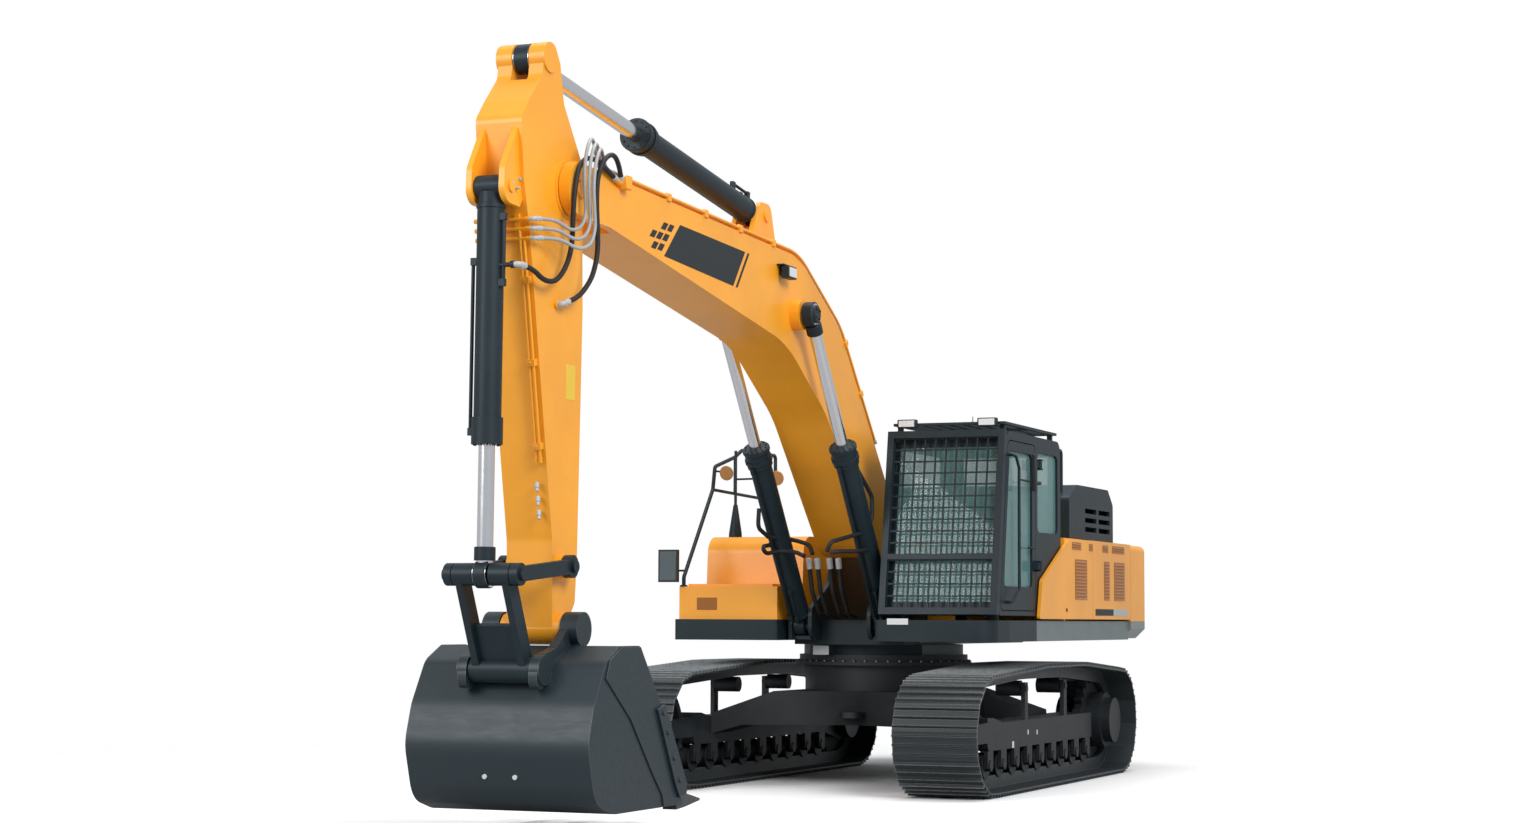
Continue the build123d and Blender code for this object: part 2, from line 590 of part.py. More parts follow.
def make_roof_guard():
    x0, x1, y0, y1 = -200.0, 1330.0, 560.0, 1530.0
    plate = block(x0, x1, y0, y1, 0, 22)
    bars = 8
    pitch = (y1 - y0 - 40) / bars
    for i in range(bars):
        for a, b in ((x0 + 40, 520), (560, x1 - 40)):
            plate -= block(a, b, y0 + 40 + i * pitch, y0 + i * pitch + pitch, -5, 40)
    for x in (x0 + 60, x1 - 90):
        for y in (y0 + 20, y1 - 60):
            plate += block(x, x + 40, y, y + 40, -50 + SEAT_GAP, 0)
    return Pos(0, 0, CAB_ROOF + 50) * plate


def make_right_handrail():
    y = -RIGHT_SIDE_Y + 32
    return tube([(1250, y, BOX_TOP + SEAT_GAP), (1250, y, 1760), (630, y, 2545), (585, y, 2750), (130, y, 2860),
                 (-30, y, 2930), (-850, y, 2930), (-850, y, HOUSE_TOP + SEAT_GAP)], 17, 40)


def make_right_mirror():
    rail_side = -RIGHT_SIDE_Y + 15 - SEAT_GAP
    arm = tube([(1205, rail_side, 1817), (1205, -1450, 1817), (1325, -1480, 1850)], 9, 12)
    return block(1305, 1345, -1580, -1400, 1716, 1995) + arm


# Boom
def make_boom():
    rows = [(300, 1935, 90), (930, 1935, 350), (2060, 3060, 1200), (2950, 3560, 1500), (6180, 4030, 0),
            (6600, 4035, 150), (6830, 4150, 120), (6780, 4400, 150), (6300, 4385, 300), (2700, 4275, 900),
            (1750, 3790, 900), (230, 2170, 120)]
    boom = slab(rows, -BOOM_HALF, BOOM_HALF)
    inner = [(560, 2090, 30), (850, 2060, 250), (1990, 3160, 1100), (2900, 3640, 1300), (5900, 4075, 0),
             (5900, 4300, 0), (2750, 4205, 800), (1800, 3700, 800)]
    boom -= slab(inner, -BOOM_HALF + 20, BOOM_HALF - 20)
    slot = [(6040, 3900, 0), (6040, 4500, 0), (7000, 4500, 0), (7000, 3900, 0)]
    boom -= slab(slot, -FORK_INNER, FORK_INNER)
    boom += both(round_y(ARM_PIN, 175, FORK_INNER, BOOM_HALF + 12))
    boom -= round_y(ARM_PIN, 60, -400, 400)
    boom += round_y(ARM_PIN, 60, -BOOM_HALF - 30, BOOM_HALF + 30)
    boom -= round_y(BOOM_FOOT, 55 + PIN_GAP, -400, 400)
    boss = round_y(BOOM_ROD_PIN, 120, BOOM_HALF - 10, 322)
    boom += both(boss)
    bracket = slab([(2800, 4250, 0), (2950, 4660, 90), (3170, 4660, 90), (3400, 4250, 0)], 62, 100)
    bracket += round_y(ARM_CYLINDER_BASE, 45, 56, 118)
    return boom + both(bracket) + round_y(ARM_CYLINDER_BASE, 45, -60, 60)


def make_arm():
    rows = [(6870, 5140, 60), (6790, 5025, 40), (6733, 4772, 80), (6455, 4416, 160), (6425, 3444, 600),
            (6475, 1783, 200), (6502, 1500, 60), (6628, 1350, 60), (6628, 1232, 90), (6824, 1232, 90),
            (6828, 1420, 0), (6838, 1904, 200), (7206, 3884, 300),
            (7290, 4180, 100), (7335, 4584, 80), (7226, 4714, 60), (7050, 4900, 60), (7010, 5140, 60)]
    arm = slab(rows, -ARM_HALF, ARM_HALF)
    inner = [(6760, 4700, 40), (6490, 4330, 60), (6470, 3444, 500), (6520, 1800, 60), (6560, 1560, 20),
             (6790, 1560, 20), (6800, 1930, 60), (7160, 3900, 200), (7240, 4180, 60), (7280, 4560, 40)]
    arm -= slab(inner, -ARM_HALF + 18, ARM_HALF - 18)
    arm -= slab([(6400, 4610, 0), (7150, 4915, 0), (7150, 5300, 0), (6400, 5300, 0)], -62, 62)
    arm += round_y(ARM_PIN, 200, -ARM_HALF - 7, ARM_HALF + 7)
    arm -= round_y(ARM_PIN, 60 + PIN_GAP, -300, 300)
    arm += round_y(BUCKET_PIN, 102, -EAR_INNER + SIDE_GAP, EAR_INNER - SIDE_GAP)
    arm -= round_y(BUCKET_PIN, 50 + PIN_GAP, -300, 300)
    arm += round_y(ARM_LINK_PIN, 75, -200, 200)
    arm -= round_y(ARM_LINK_PIN, 40 + PIN_GAP, -300, 300)
    tail = round_y(TAIL_PIN, 100, 62, ARM_HALF + 12)
    arm += both(tail)
    cheek = slab([(7290, 4580, 30), (7500, 4240, 120), (7510, 4020, 100), (7290, 4010, 0), (7230, 4100, 0),
                  (7270, 4500, 0)], 97, 137)
    arm += both(cheek)
    return arm + round_y(BUCKET_CYLINDER_BASE, 40, -150, 150)


# Cylinders: base pin, rod pin, barrel start, barrel end, barrel radius, gland radius, rod radius, rod length,
# base eye half width, base pin radius
CYLINDERS = {
    "boom": (BOOM_CYLINDER_BASE, BOOM_ROD_PIN, 116.0, 1800.0, 92.0, 106.0, 50.0, 2104.0, 45.0, 50.0),
    "arm": (ARM_CYLINDER_BASE, TAIL_PIN, 200.0, 2240.0, 95.0, 115.0, 55.0, 2400.0, 50.0, 45.0),
    "bucket": (BUCKET_CYLINDER_BASE, LINK_TOP_PIN, 116.0, 1640.0, 88.0, 100.0, 52.0, 1730.0, 88.0, 40.0),
}
BARREL_WALL = 18.0


def make_barrel(name, y):
    base, tip, start, end, radius, gland, rod, rod_length, eye_half, pin = CYLINDERS[name]
    bore = radius - BARREL_WALL
    barrel = along(base, tip, start, end, radius, y) + along(base, tip, end - 170, end, gland, y)
    barrel += round_y(base, pin + 35, y - eye_half, y + eye_half)
    barrel += along(base, tip, 40, start + 20, min(radius, eye_half) - 6, y)
    barrel -= along(base, tip, start + 40, end - 120, bore, y)
    barrel -= along(base, tip, end - 150, end + 10, rod + SEAT_GAP, y)
    return barrel - round_y(base, pin + PIN_GAP, y - 200, y + 200)


def make_rod(name, y, eye_half, eye_radius):
    base, tip, start, end, radius, gland, rod, rod_length, base_half, pin = CYLINDERS[name]
    length = span(base, tip)
    bar = along(base, tip, length - rod_length, length - eye_radius / 2, rod, y)
    piston = along(base, tip, length - rod_length, length - rod_length + 60, radius - BARREL_WALL - SEAT_GAP, y)
    return bar + piston + round_y(tip, eye_radius, y - eye_half, y + eye_half)


# Bucket linkage
def make_arm_links():
    link = dogbone(ARM_LINK_PIN, LINK_TOP_PIN, 75, 72, 95, 206, 262)
    pin = round_y(LINK_TOP_PIN, 40, 200 + SIDE_GAP, 285)
    return both(link + pin) + round_y(ARM_LINK_PIN, 40, -285, 285)


def make_bucket_link():
    side = dogbone(LINK_TOP_PIN, LINK_LOW_PIN, 72, 72, 120, 140, 186)
    side += round_y(LINK_TOP_PIN, 72, 58, 200)
    link = both(side) + round_y(LINK_LOW_PIN, 82, -EAR_INNER + SIDE_GAP, EAR_INNER - SIDE_GAP)
    angle = atan2(LINK_LOW_PIN[1] - LINK_TOP_PIN[1], LINK_LOW_PIN[0] - LINK_TOP_PIN[0])
    length = span(LINK_TOP_PIN, LINK_LOW_PIN)
    web = block(345, length, -145, 145, -20, 20)
    link += Pos(LINK_TOP_PIN[0], 0, LINK_TOP_PIN[1]) * Rot(0, -degrees(angle), 0) * web
    return link - round_y(LINK_LOW_PIN, 45 + PIN_GAP, -300, 300)


# Bucket
def make_bucket():
    profile = [(6530, 1225, 10), (6815, 1225, 40), (7030, 1122, 120), (7200, 850, 300), (7280, 600, 250),
               (7170, 240, 200), (6900, 165, 300), (5840, 165, 0)]
    outer = slab(profile, -BUCKET_HALF, BUCKET_HALF)
    inner_profile = [(5600, 205, 0), (6880, 205, 270), (7135, 275, 170), (7240, 610, 220), (7168, 840, 260),
                     (7005, 1095, 90), (6790, 1190, 0), (6775, 1300, 0), (5600, 1300, 0)]
    bucket = outer - slab(inner_profile, -BUCKET_HALF + 30, BUCKET_HALF - 30)
    ear = slab([(6725, 1442, 112), (6838, 1330, 100), (7000, 1210, 40), (7167, 1172, 90), (7267, 1072, 90),
                (7260, 900, 60), (7120, 1000, 0), (6860, 1170, 0), (6760, 1200, 0), (6640, 1215, 0),
                (6613, 1330, 100)], EAR_INNER, EAR_OUTER)
    ear += round_y(BUCKET_PIN, 112, EAR_INNER, 345)
    ear += round_y(LINK_LOW_PIN, 95, EAR_INNER, 292)
    bucket += both(ear)
    return bucket + round_y(BUCKET_PIN, 50, -345, 345) + round_y(LINK_LOW_PIN, 45, -292, 292)


def make_bucket_teeth():
    teeth = Part()
    count = 5
    for i in range(count):
        y = -BUCKET_HALF + 90 + i * (2 * BUCKET_HALF - 180) / (count - 1)
        teeth += slab([(6010, 205 + SEAT_GAP, 0), (6010, 230, 0), (5900, 252, 30), (5700, 232, 60), (5450, 182, 0),
                       (5450, 168, 0), (5700, 138, 60), (5840 - SEAT_GAP, 128, 0), (5840 - SEAT_GAP, 205 + SEAT_GAP, 0)],
                      y - 50, y + 50)
    return teeth


def save(shape, name):
    shape.label = name
    export_step(shape, f"parts/{name}.step")


os.makedirs("parts", exist_ok=True)
for side, y in (("left", TRACK_Y), ("right", -TRACK_Y)):
    save(make_track(y), f"track_{side}")
    save(make_track_frame(y), f"track_frame_{side}")
    save(make_idler(y), f"idler_{side}")
    save(make_sprocket(y), f"sprocket_{side}")
    save(make_rollers(y), f"rollers_{side}")
save(make_carbody(), "carbody")
save(make_carbody_legs(), "carbody_legs")
save(make_slew_ring(), "slew_ring")
save(make_upper_frame(), "upper_frame")
save(make_counterweight(), "counterweight")
save(make_house(), "house")
save(make_engine(), "engine")
save(make_engine_hood(), "engine_hood")
save(make_exhaust_stack(), "exhaust_stack")
save(make_left_front_door(), "left_front_door")
save(service_door(HOUSE_REAR_X + 12, -1250, SIDE_Y - SKIN, SIDE_Y), "left_rear_door")
save(service_door(HOUSE_REAR_X + 24, -1300, -RIGHT_SIDE_Y - SKIN, -RIGHT_SIDE_Y), "right_rear_door")
save(make_tank(), "tank")
save(make_tool_box(), "tool_box")
save(make_tool_box_lid(), "tool_box_lid")
save(make_cab(), "cab")
save(make_cab_glass(), "cab_glass")
save(make_cab_door(), "cab_door")
save(make_door_glass(), "door_glass")
save(make_seat(), "seat")
save(make_consoles(), "consoles")
save(make_front_guard(), "front_guard")
save(make_roof_guard(), "roof_guard")
save(make_right_handrail(), "right_handrail")
save(make_right_mirror(), "right_mirror")
save(make_boom(), "boom")
save(make_arm(), "arm")
save(make_barrel("boom", BOOM_CYLINDER_Y) + make_barrel("boom", -BOOM_CYLINDER_Y), "boom_cylinder_barrels")
save(make_rod("boom", BOOM_CYLINDER_Y, 45, 85) + make_rod("boom", -BOOM_CYLINDER_Y, 45, 85), "boom_cylinder_rods")
save(make_barrel("arm", 0), "arm_cylinder_barrel")
save(make_rod("arm", 0, 55, 95), "arm_cylinder_rod")
save(make_barrel("bucket", 0), "bucket_cylinder_barrel")
save(make_rod("bucket", 0, 46, 82), "bucket_cylinder_rod")
save(make_arm_links(), "arm_links")
save(make_bucket_link(), "bucket_link")
save(make_bucket(), "bucket")
save(make_bucket_teeth(), "bucket_teeth")
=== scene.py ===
# %% [markdown]
# # A crawler excavator, dressed in Blender
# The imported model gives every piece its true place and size. This lesson keeps that frame, gives each
# piece a worked-out finish, and adds the forms that the solids leave out: hoses, pipes, bolts, plates,
# lamps and cushions. Each step says what the real thing is, how it could be made, and why it is made
# the way it is.

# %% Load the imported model
import json
import math
from types import SimpleNamespace

import bmesh
import bpy
import numpy as np
from mathutils import Matrix, Vector


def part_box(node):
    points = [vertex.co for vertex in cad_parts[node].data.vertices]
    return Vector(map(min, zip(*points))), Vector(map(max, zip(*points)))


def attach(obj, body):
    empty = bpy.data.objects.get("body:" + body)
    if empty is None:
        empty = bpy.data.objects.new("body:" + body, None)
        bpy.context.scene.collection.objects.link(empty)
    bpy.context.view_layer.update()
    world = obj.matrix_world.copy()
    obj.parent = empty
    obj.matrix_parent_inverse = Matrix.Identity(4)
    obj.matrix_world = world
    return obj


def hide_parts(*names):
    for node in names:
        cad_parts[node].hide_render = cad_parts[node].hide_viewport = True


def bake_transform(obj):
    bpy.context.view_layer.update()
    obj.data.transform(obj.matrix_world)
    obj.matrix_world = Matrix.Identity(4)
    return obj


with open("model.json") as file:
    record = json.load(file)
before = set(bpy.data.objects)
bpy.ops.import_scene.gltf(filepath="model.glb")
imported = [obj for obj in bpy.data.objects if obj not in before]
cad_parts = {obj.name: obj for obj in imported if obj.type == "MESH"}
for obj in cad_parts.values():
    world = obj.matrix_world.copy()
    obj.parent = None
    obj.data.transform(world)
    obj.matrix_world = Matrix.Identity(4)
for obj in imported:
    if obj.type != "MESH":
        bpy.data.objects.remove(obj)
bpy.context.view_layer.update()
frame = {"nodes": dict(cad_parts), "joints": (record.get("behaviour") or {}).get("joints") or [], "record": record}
nodes = frame["nodes"]

# %% [markdown]
# ## Places that the solids give
# A vent sits on its door and an oil pipe on its cylinder, so both take their place from the packed
# model. Copied numbers would do too, until a door moves. The pieces' sizes are in millimetres, as on a
# drawing, and become metres when a mesh is made.

# %% Edges and pins of the solids
MM = 0.001
PINS = {row["name"]: row["pos_m"] for row in frame["joints"] if "pos_m" in row}


def edge_of(node, letter, end):
    """The lowest (end 0) or highest (end 1) place of a solid piece along an axis, to a tenth."""
    return round(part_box(node)[end]["xyz".index(letter)] / MM, 1)


def pin_of(joint):
    """A cross pin as the side view shows it, (x, z)."""
    x, _, z = PINS[joint]
    return round(x / MM, 1), round(z / MM, 1)


LEFT_FACE = edge_of("left_rear_door", "y", 1)
RIGHT_FACE = edge_of("right_rear_door", "y", 0)
print("door faces", LEFT_FACE, RIGHT_FACE, "boom cylinder pin", pin_of("boom_cylinder_pivot"))

# %% [markdown]
# ## The camera
# The picture is taken from low down, in front and to the left of the machine, so the bucket looms
# large. The camera below has the same place, aim and lens. A Track To constraint would aim it, but not
# roll it. It looks along its own -Z axis, so its rotation matrix is made of the picture's right, the
# picture's up and the reversed line of sight.

# %% Camera
CAMERA_PLACE = (22.2031, 7.9054, 1.3948)
CAMERA_YAW = 0.38862
CAMERA_PITCH = 0.07838
CAMERA_ROLL = 0.00452
FOCAL_PIXELS = 2654.83
PICTURE_WIDTH = 1521
SENSOR_WIDTH = 36


def camera_axes(yaw, pitch, roll):
    """Sight = the direction given by yaw and pitch. Right = sight x up. Both are then turned by roll."""
    sight = Vector((-math.cos(yaw) * math.cos(pitch), -math.sin(yaw) * math.cos(pitch), math.sin(pitch)))
    right = sight.cross(Vector((0, 0, 1))).normalized()
    up = right.cross(sight)
    turned_right = right * math.cos(roll) + up * math.sin(roll)
    turned_up = up * math.cos(roll) - right * math.sin(roll)
    return turned_right, turned_up, sight


camera = bpy.data.objects.new("camera", bpy.data.cameras.new("camera"))
bpy.context.scene.collection.objects.link(camera)
picture_right, picture_up, sight_line = camera_axes(CAMERA_YAW, CAMERA_PITCH, CAMERA_ROLL)
turn = Matrix((picture_right, picture_up, -sight_line)).transposed().to_4x4()
camera.matrix_world = Matrix.Translation(CAMERA_PLACE) @ turn
camera.data.sensor_width = SENSOR_WIDTH
camera.data.lens = FOCAL_PIXELS / PICTURE_WIDTH * SENSOR_WIDTH
camera.data.clip_end = 200
bpy.context.scene.camera = camera
bpy.context.scene.view_settings.view_transform = "Standard"
print("lens", round(camera.data.lens, 2), "mm")

# %% [markdown]
# ## Shader maths as plain expressions
# Node trees are easier to read as formulas. The class below wraps one output socket, so that
# `dust * 0.5 + 0.1` adds the Math nodes it needs. Any other node comes from one method, which takes
# the node's type, its settings and what feeds its sockets.

# %% Sockets that can be reckoned with


class Wave:
    """One socket's value. +, - and * add Math nodes, and the other methods name what they do."""

    def __init__(self, owner, socket):
        self.owner = owner
        self.socket = socket

    def math(self, operation, *others):
        inputs = {0: self, **dict(enumerate(others, 1))}
        return self.owner.node("ShaderNodeMath", {"operation": operation}, inputs).out(0)

    def __add__(self, other):
        return self.math("ADD", other)

    def __sub__(self, other):
        return self.math("SUBTRACT", other)

    def __mul__(self, other):
        return self.math("MULTIPLY", other)

    def __rsub__(self, other):
        return self.math("MULTIPLY", -1.0).math("ADD", other)

    __radd__ = __add__
    __rmul__ = __mul__

    def ramp(self, low, high):
        """0 below low, 1 above high and smooth between them."""
        settings = {"interpolation_type": "SMOOTHSTEP"}
        inputs = {"Value": self, "From Min": low, "From Max": high}
        return self.owner.node("ShaderNodeMapRange", settings, inputs).out("Result")

    def clamp(self):
        return self.owner.node("ShaderNodeClamp", {}, {"Value": self}).out("Result")


class Made:
    """A node that was just added. out gives one of its outputs, by name or number."""

    def __init__(self, owner, node):
        self.owner = owner
        self.node = node

    def out(self, name):
        return Wave(self.owner, self.node.outputs[name])


class Tree:
    """A node tree, with the one method that adds a node."""

    def __init__(self, tree):
        self.tree = tree

    def feed(self, socket, value):
        """Links a Wave to the socket, or sets a plain value on it."""
        if isinstance(value, Wave):
            self.tree.links.new(value.socket, socket)
        else:
            socket.default_value = value

    def node(self, kind, settings=None, inputs=None):
        """Adds a node of that kind. Its settings come first, because they can change its sockets."""
        made = self.tree.nodes.new(kind)
        for name, value in (settings or {}).items():
            setattr(made, name, value)
        for name, value in (inputs or {}).items():
            self.feed(made.inputs[name], value)
        return Made(self, made)


print("node helpers ready")

# %% [markdown]
# ## A finish
# Every finish here is one Principled shader with something that varies over the surface: clouds of
# noise, a mask by height, or a mask by where the surface faces. Texture pictures could do the same,
# but noise in metres has the right scale on every piece, with no seams and no files.

# %% Finish


class Finish(Tree):
    """A material with a Principled shader, and the patterns that the finishes share."""

    def __init__(self, name):
        self.material = bpy.data.materials.new(name)
        self.material.use_nodes = True
        super().__init__(self.material.node_tree)
        self.shader = self.tree.nodes["Principled BSDF"]

    def set(self, **values):
        """Sets the shader's sockets: base_color=... goes to Base Color."""
        for name, value in values.items():
            self.feed(self.shader.inputs[name.replace("_", " ").title().replace("Ior", "IOR")], value)

    def bump(self, height, strength, distance):
        """Tilts the surface by a height map, which at strength 1 rises by distance, in metres."""
        inputs = {"Height": height, "Strength": strength, "Distance": distance}
        self.set(normal=self.node("ShaderNodeBump", {}, inputs).out("Normal"))

    def place(self):
        """Where a point is on the object, in metres."""
        return self.node("ShaderNodeTexCoord").out("Object")

    def noise(self, scale, detail=3.0, roughness=0.55, stretch=None):
        """Cloudy noise from 0 to 1, with scale cells per metre, drawn out by stretch."""
        where = self.place()
        if stretch:
            where = self.node("ShaderNodeMapping", {}, {"Vector": where, "Scale": stretch}).out(0)
        inputs = {"Vector": where, "Scale": scale, "Detail": detail, "Roughness": roughness}
        return self.node("ShaderNodeTexNoise", {}, inputs).out(0)

    def mix(self, mask, first, second):
        """The first colour where the mask is 0, the second where it is 1."""
        first, second = (c if isinstance(c, Wave) else (*c, 1.0) for c in (first, second))
        return self.node("ShaderNodeMix", {"data_type": "RGBA"}, {0: mask, 6: first, 7: second}).out(2)

    def part_of(self, vector, letter):
        return self.node("ShaderNodeSeparateXYZ", {}, {"Vector": vector}).out("XYZ".index(letter))

    def axis(self, letter):
        """A point's place along one axis, in metres."""
        return self.part_of(self.place(), letter)

    def facing(self, letter):
        """How far the surface's true normal points along an axis, from -1 to 1."""
        return self.part_of(self.node("ShaderNodeNewGeometry").out("True Normal"), letter)


print("finish helpers ready")

# %% [markdown]
# ## Paint
# The orange is a thick two-coat paint: an even colour, a clear gloss with a fine orange-peel, and a
# little dust that settles on ledges. The dark paint of the cab, cylinders and frames is the same
# coating in slate, and shows dust more. Both come from one function with the colour as its argument.
# Two pieces carry a second colour low on their sides, so a mask by height does what a painter's
# masking tape does.

# %% Painted metal
PEEL_HEIGHT = 0.002
TAPE_EDGE = 0.002


def painted(name, color, dust_color, dust=0.25, roughness=0.34, coat=0.35, gloss=0.5, skirt=None):
    """Colour = paint, a shade deeper or lighter in clouds, then dust on what faces up and in patches.
    With skirt = (colour, height, x), what doesn't face up, lies below that height and behind that x,
    in metres, has a second colour."""
    finish = Finish(name)
    cloud = finish.noise(0.9, 4)
    fine = finish.noise(160.0, 2)
    deep = tuple(c * 0.90 for c in color)
    light = tuple(min(1.0, c * 1.05) for c in color)
    base = finish.mix(cloud.ramp(0.35, 0.7), deep, light)
    if skirt:
        second_color, height, front = skirt
        low = 1 - finish.axis("Z").ramp(height - TAPE_EDGE, height + TAPE_EDGE)
        behind = 1 - finish.axis("X").ramp(front - TAPE_EDGE, front + TAPE_EDGE)
        sideways = 1 - finish.facing("Z").ramp(0.30, 0.50)
        base = finish.mix(low * behind * sideways, base, second_color)
    up = finish.facing("Z").ramp(0.35, 1.0)
    patch = finish.noise(3.5, 5, 0.65).ramp(0.42, 0.75)
    settled = (up * 0.6 + 0.4) * patch * dust
    finish.set(base_color=finish.mix(settled.clamp(), base, dust_color))
    finish.set(roughness=(settled * 0.5 + roughness + cloud * 0.08).clamp(), metallic=0.0)
    finish.set(coat_weight=coat, coat_roughness=0.18, specular_ior_level=gloss)
    finish.bump(fine, 0.03, PEEL_HEIGHT)
    return finish.material


print("paint helper ready")

# %% [markdown]
# ## The paints of this machine
# Each colour is written as it would be mixed, in linear light, with the dust that shows on it, but the
# vents' two colours are painted shade. The grey of the skirt runs on round the counterweight, which is
# one casting, so both carry it below the same height. The deck's sides keep their slate in front, where
# the cab stands.

# %% Paints
ORANGE = (0.96, 0.385, 0.014)
ORANGE_DUST = (0.75, 0.42, 0.13)
SLATE = (0.009, 0.020, 0.027)
SLATE_DUST = (0.050, 0.072, 0.082)
SKIRT_GREY = (0.17, 0.20, 0.20)
SKIRT_TOP = 1.40
DECK_SKIRT_TOP = 1.399
DECK_SKIRT_FRONT = 0.47

orange_paint = painted("orange_paint", ORANGE, ORANGE_DUST, dust=0.10, coat=0.22)
weight_paint = painted("weight_paint", ORANGE, ORANGE_DUST, dust=0.10, coat=0.22,
                       skirt=(SKIRT_GREY, SKIRT_TOP, 0.0))
slate_paint = painted("slate_paint", SLATE, SLATE_DUST, dust=0.24, roughness=0.45, coat=0.06, gloss=0.3)
deck_paint = painted("deck_paint", SLATE, SLATE_DUST, dust=0.24, roughness=0.45, coat=0.06, gloss=0.3,
                     skirt=(SKIRT_GREY, DECK_SKIRT_TOP, DECK_SKIRT_FRONT))
under_paint = painted("under_paint", (0.009, 0.013, 0.016), (0.07, 0.075, 0.075), dust=0.35,
                      roughness=0.5, coat=0.05)
# Painted shade: the vent back stands for the shaded recess behind the louvres, and the slats are a darker orange
# than the door's paint for the shade among them. The tool box plate shares the back's brown.
vent_shade_and_plate_brown = painted("vent_shade_and_plate_brown", (0.34, 0.115, 0.010), (0.36, 0.16, 0.04), dust=0.1, coat=0.1, gloss=0.3)
vent_slat_painted_shade = painted("vent_slat_painted_shade", (0.52, 0.19, 0.012), (0.50, 0.24, 0.06), dust=0.1, coat=0.1, gloss=0.3)
label_yellow = painted("label_yellow", (0.88, 0.56, 0.02), (0.70, 0.50, 0.20), dust=0.1)
decal_dark = painted("decal_dark", (0.008, 0.014, 0.018), (0.05, 0.06, 0.06), dust=0.1, roughness=0.5,
                     coat=0.0)
white_plate = painted("white_plate", (0.72, 0.74, 0.74), (0.50, 0.50, 0.48), dust=0.2)
silver_plate = painted("silver_plate", (0.42, 0.47, 0.47), (0.35, 0.35, 0.34), dust=0.2)
print("paints", orange_paint.name, slate_paint.name, under_paint.name)

# %% [markdown]
# ## Worn steel
# Bucket and shoes lose their paint where they rub: first along their edges, then in scratches that
# follow the motion. The bright steel along the edges is also a painted highlight, in place of the
# light that catches them. The Bevel node gives a normal that is rounded near an edge, and where it
# leaves the true normal there is an edge. A painted mask would need a new painting for each change of
# shape.

# %% Worn steel


def worn_steel_and_edge_highlight(name, paint, steel, wear, stretch=(1.0, 1.0, 1.0), edges=0.0):
    """Paint that gives way to steel where scratches pass the wear level, and along edges where a
    rounded normal turns away from the true one: edge = 1 - rounded . true. On the edges that steel is
    worn steel and painted highlight both."""
    finish = Finish(name)
    scratch = finish.noise(26.0, 6, 0.7, stretch)
    broad = finish.noise(1.7, 4)
    bare_and_highlit = (scratch * 0.55 + broad * 0.45).ramp(0.62 - wear, 0.80 - wear)
    # With edges, bright steel is added along the edges: real wear there, and a painted highlight too.
    if edges:
        rounded = finish.node("ShaderNodeBevel", {"samples": 4}, {"Radius": edges}).out("Normal")
        true = finish.node("ShaderNodeNewGeometry").out("Normal")
        inputs = {0: rounded, 1: true}
        same = finish.node("ShaderNodeVectorMath", {"operation": "DOT_PRODUCT"}, inputs).out("Value")
        rubbed_and_highlit = scratch.ramp(0.3, 0.6) * 0.6 + 0.4
        bare_and_highlit = (bare_and_highlit + (1 - same).ramp(0.02, 0.16) * rubbed_and_highlit).clamp()
    finish.set(base_color=finish.mix(bare_and_highlit, paint, steel))
    finish.set(roughness=(scratch * 0.25 + 0.32).clamp(), metallic=bare_and_highlit * 0.75)
    finish.bump(scratch, 0.08, 0.004)
    return finish.material


bucket_steel = worn_steel_and_edge_highlight("bucket_steel", (0.014, 0.026, 0.033), (0.11, 0.13, 0.14), -0.03,
                          (1.0, 0.25, 1.0), edges=0.010)
tooth_steel = worn_steel_and_edge_highlight("tooth_steel", (0.05, 0.052, 0.055), (0.33, 0.33, 0.33), 0.10, (0.3, 1.0, 1.0))
track_steel = worn_steel_and_edge_highlight("track_steel", (0.026, 0.033, 0.036), (0.22, 0.24, 0.245), 0.03, edges=0.012)
engine_iron = worn_steel_and_edge_highlight("engine_iron", (0.05, 0.055, 0.06), (0.2, 0.2, 0.2), 0.0)
print("steels", bucket_steel.name, tooth_steel.name, track_steel.name, engine_iron.name)

# %% [markdown]
# ## Chrome, glass, rubber and plastic
# Rods are hard chrome, nearly mirror-like, with fine streaks along the stroke. The cab's glass is a
# thin green-grey pane, made clear by alpha, because a refracting shader needs a closed thickness and
# far more light paths. Rubber, plastic, fabric and zinc differ only in colour, gloss and grain.

# %% Chrome, glass and the plain finishes


def chrome_finish():
    finish = Finish("rod_chrome")
    streak = finish.noise(40.0, 3, 0.5, (1.0, 1.0, 0.2))
    finish.set(base_color=(0.78, 0.79, 0.81, 1), metallic=1.0, roughness=streak * 0.12 + 0.12)
    return finish.material


def glass_finish():
    """A pane: mostly see-through with a green-grey tint, glossy, and a little smeared."""
    finish = Finish("window_glass")
    smear = finish.noise(2.2, 4).ramp(0.4, 0.8)
    finish.set(base_color=(0.20, 0.40, 0.39, 1), roughness=smear * 0.05 + 0.02, metallic=0.0)
    finish.set(alpha=smear * 0.06 + 0.42)
    finish.material.surface_render_method = "BLENDED"
    return finish.material


def plain_finish(name, color, roughness=0.55, grain=220.0, strength=0.15):
    """One colour in slow clouds, with a bump of grain cells per metre."""
    finish = Finish(name)
    fine = finish.noise(grain, 3)
    cloud = finish.noise(1.5, 3)
    dark = tuple(c * 0.8 for c in color)
    finish.set(base_color=finish.mix(cloud, dark, color), roughness=cloud * 0.12 + roughness)
    finish.bump(fine, strength, 0.002)
    return finish.material


rod_chrome = chrome_finish()
window_glass = glass_finish()
zinc = plain_finish("zinc", (0.50, 0.52, 0.53), 0.30, 120.0, 0.05)
steel_braid = plain_finish("steel_braid", (0.40, 0.43, 0.44), 0.38, 420.0, 0.5)
lamp_lens = plain_finish("lamp_lens", (0.75, 0.79, 0.80), 0.12, 60.0, 0.1)
mirror_glass = plain_finish("mirror_glass", (0.10, 0.13, 0.14), 0.08, 4.0, 0.0)
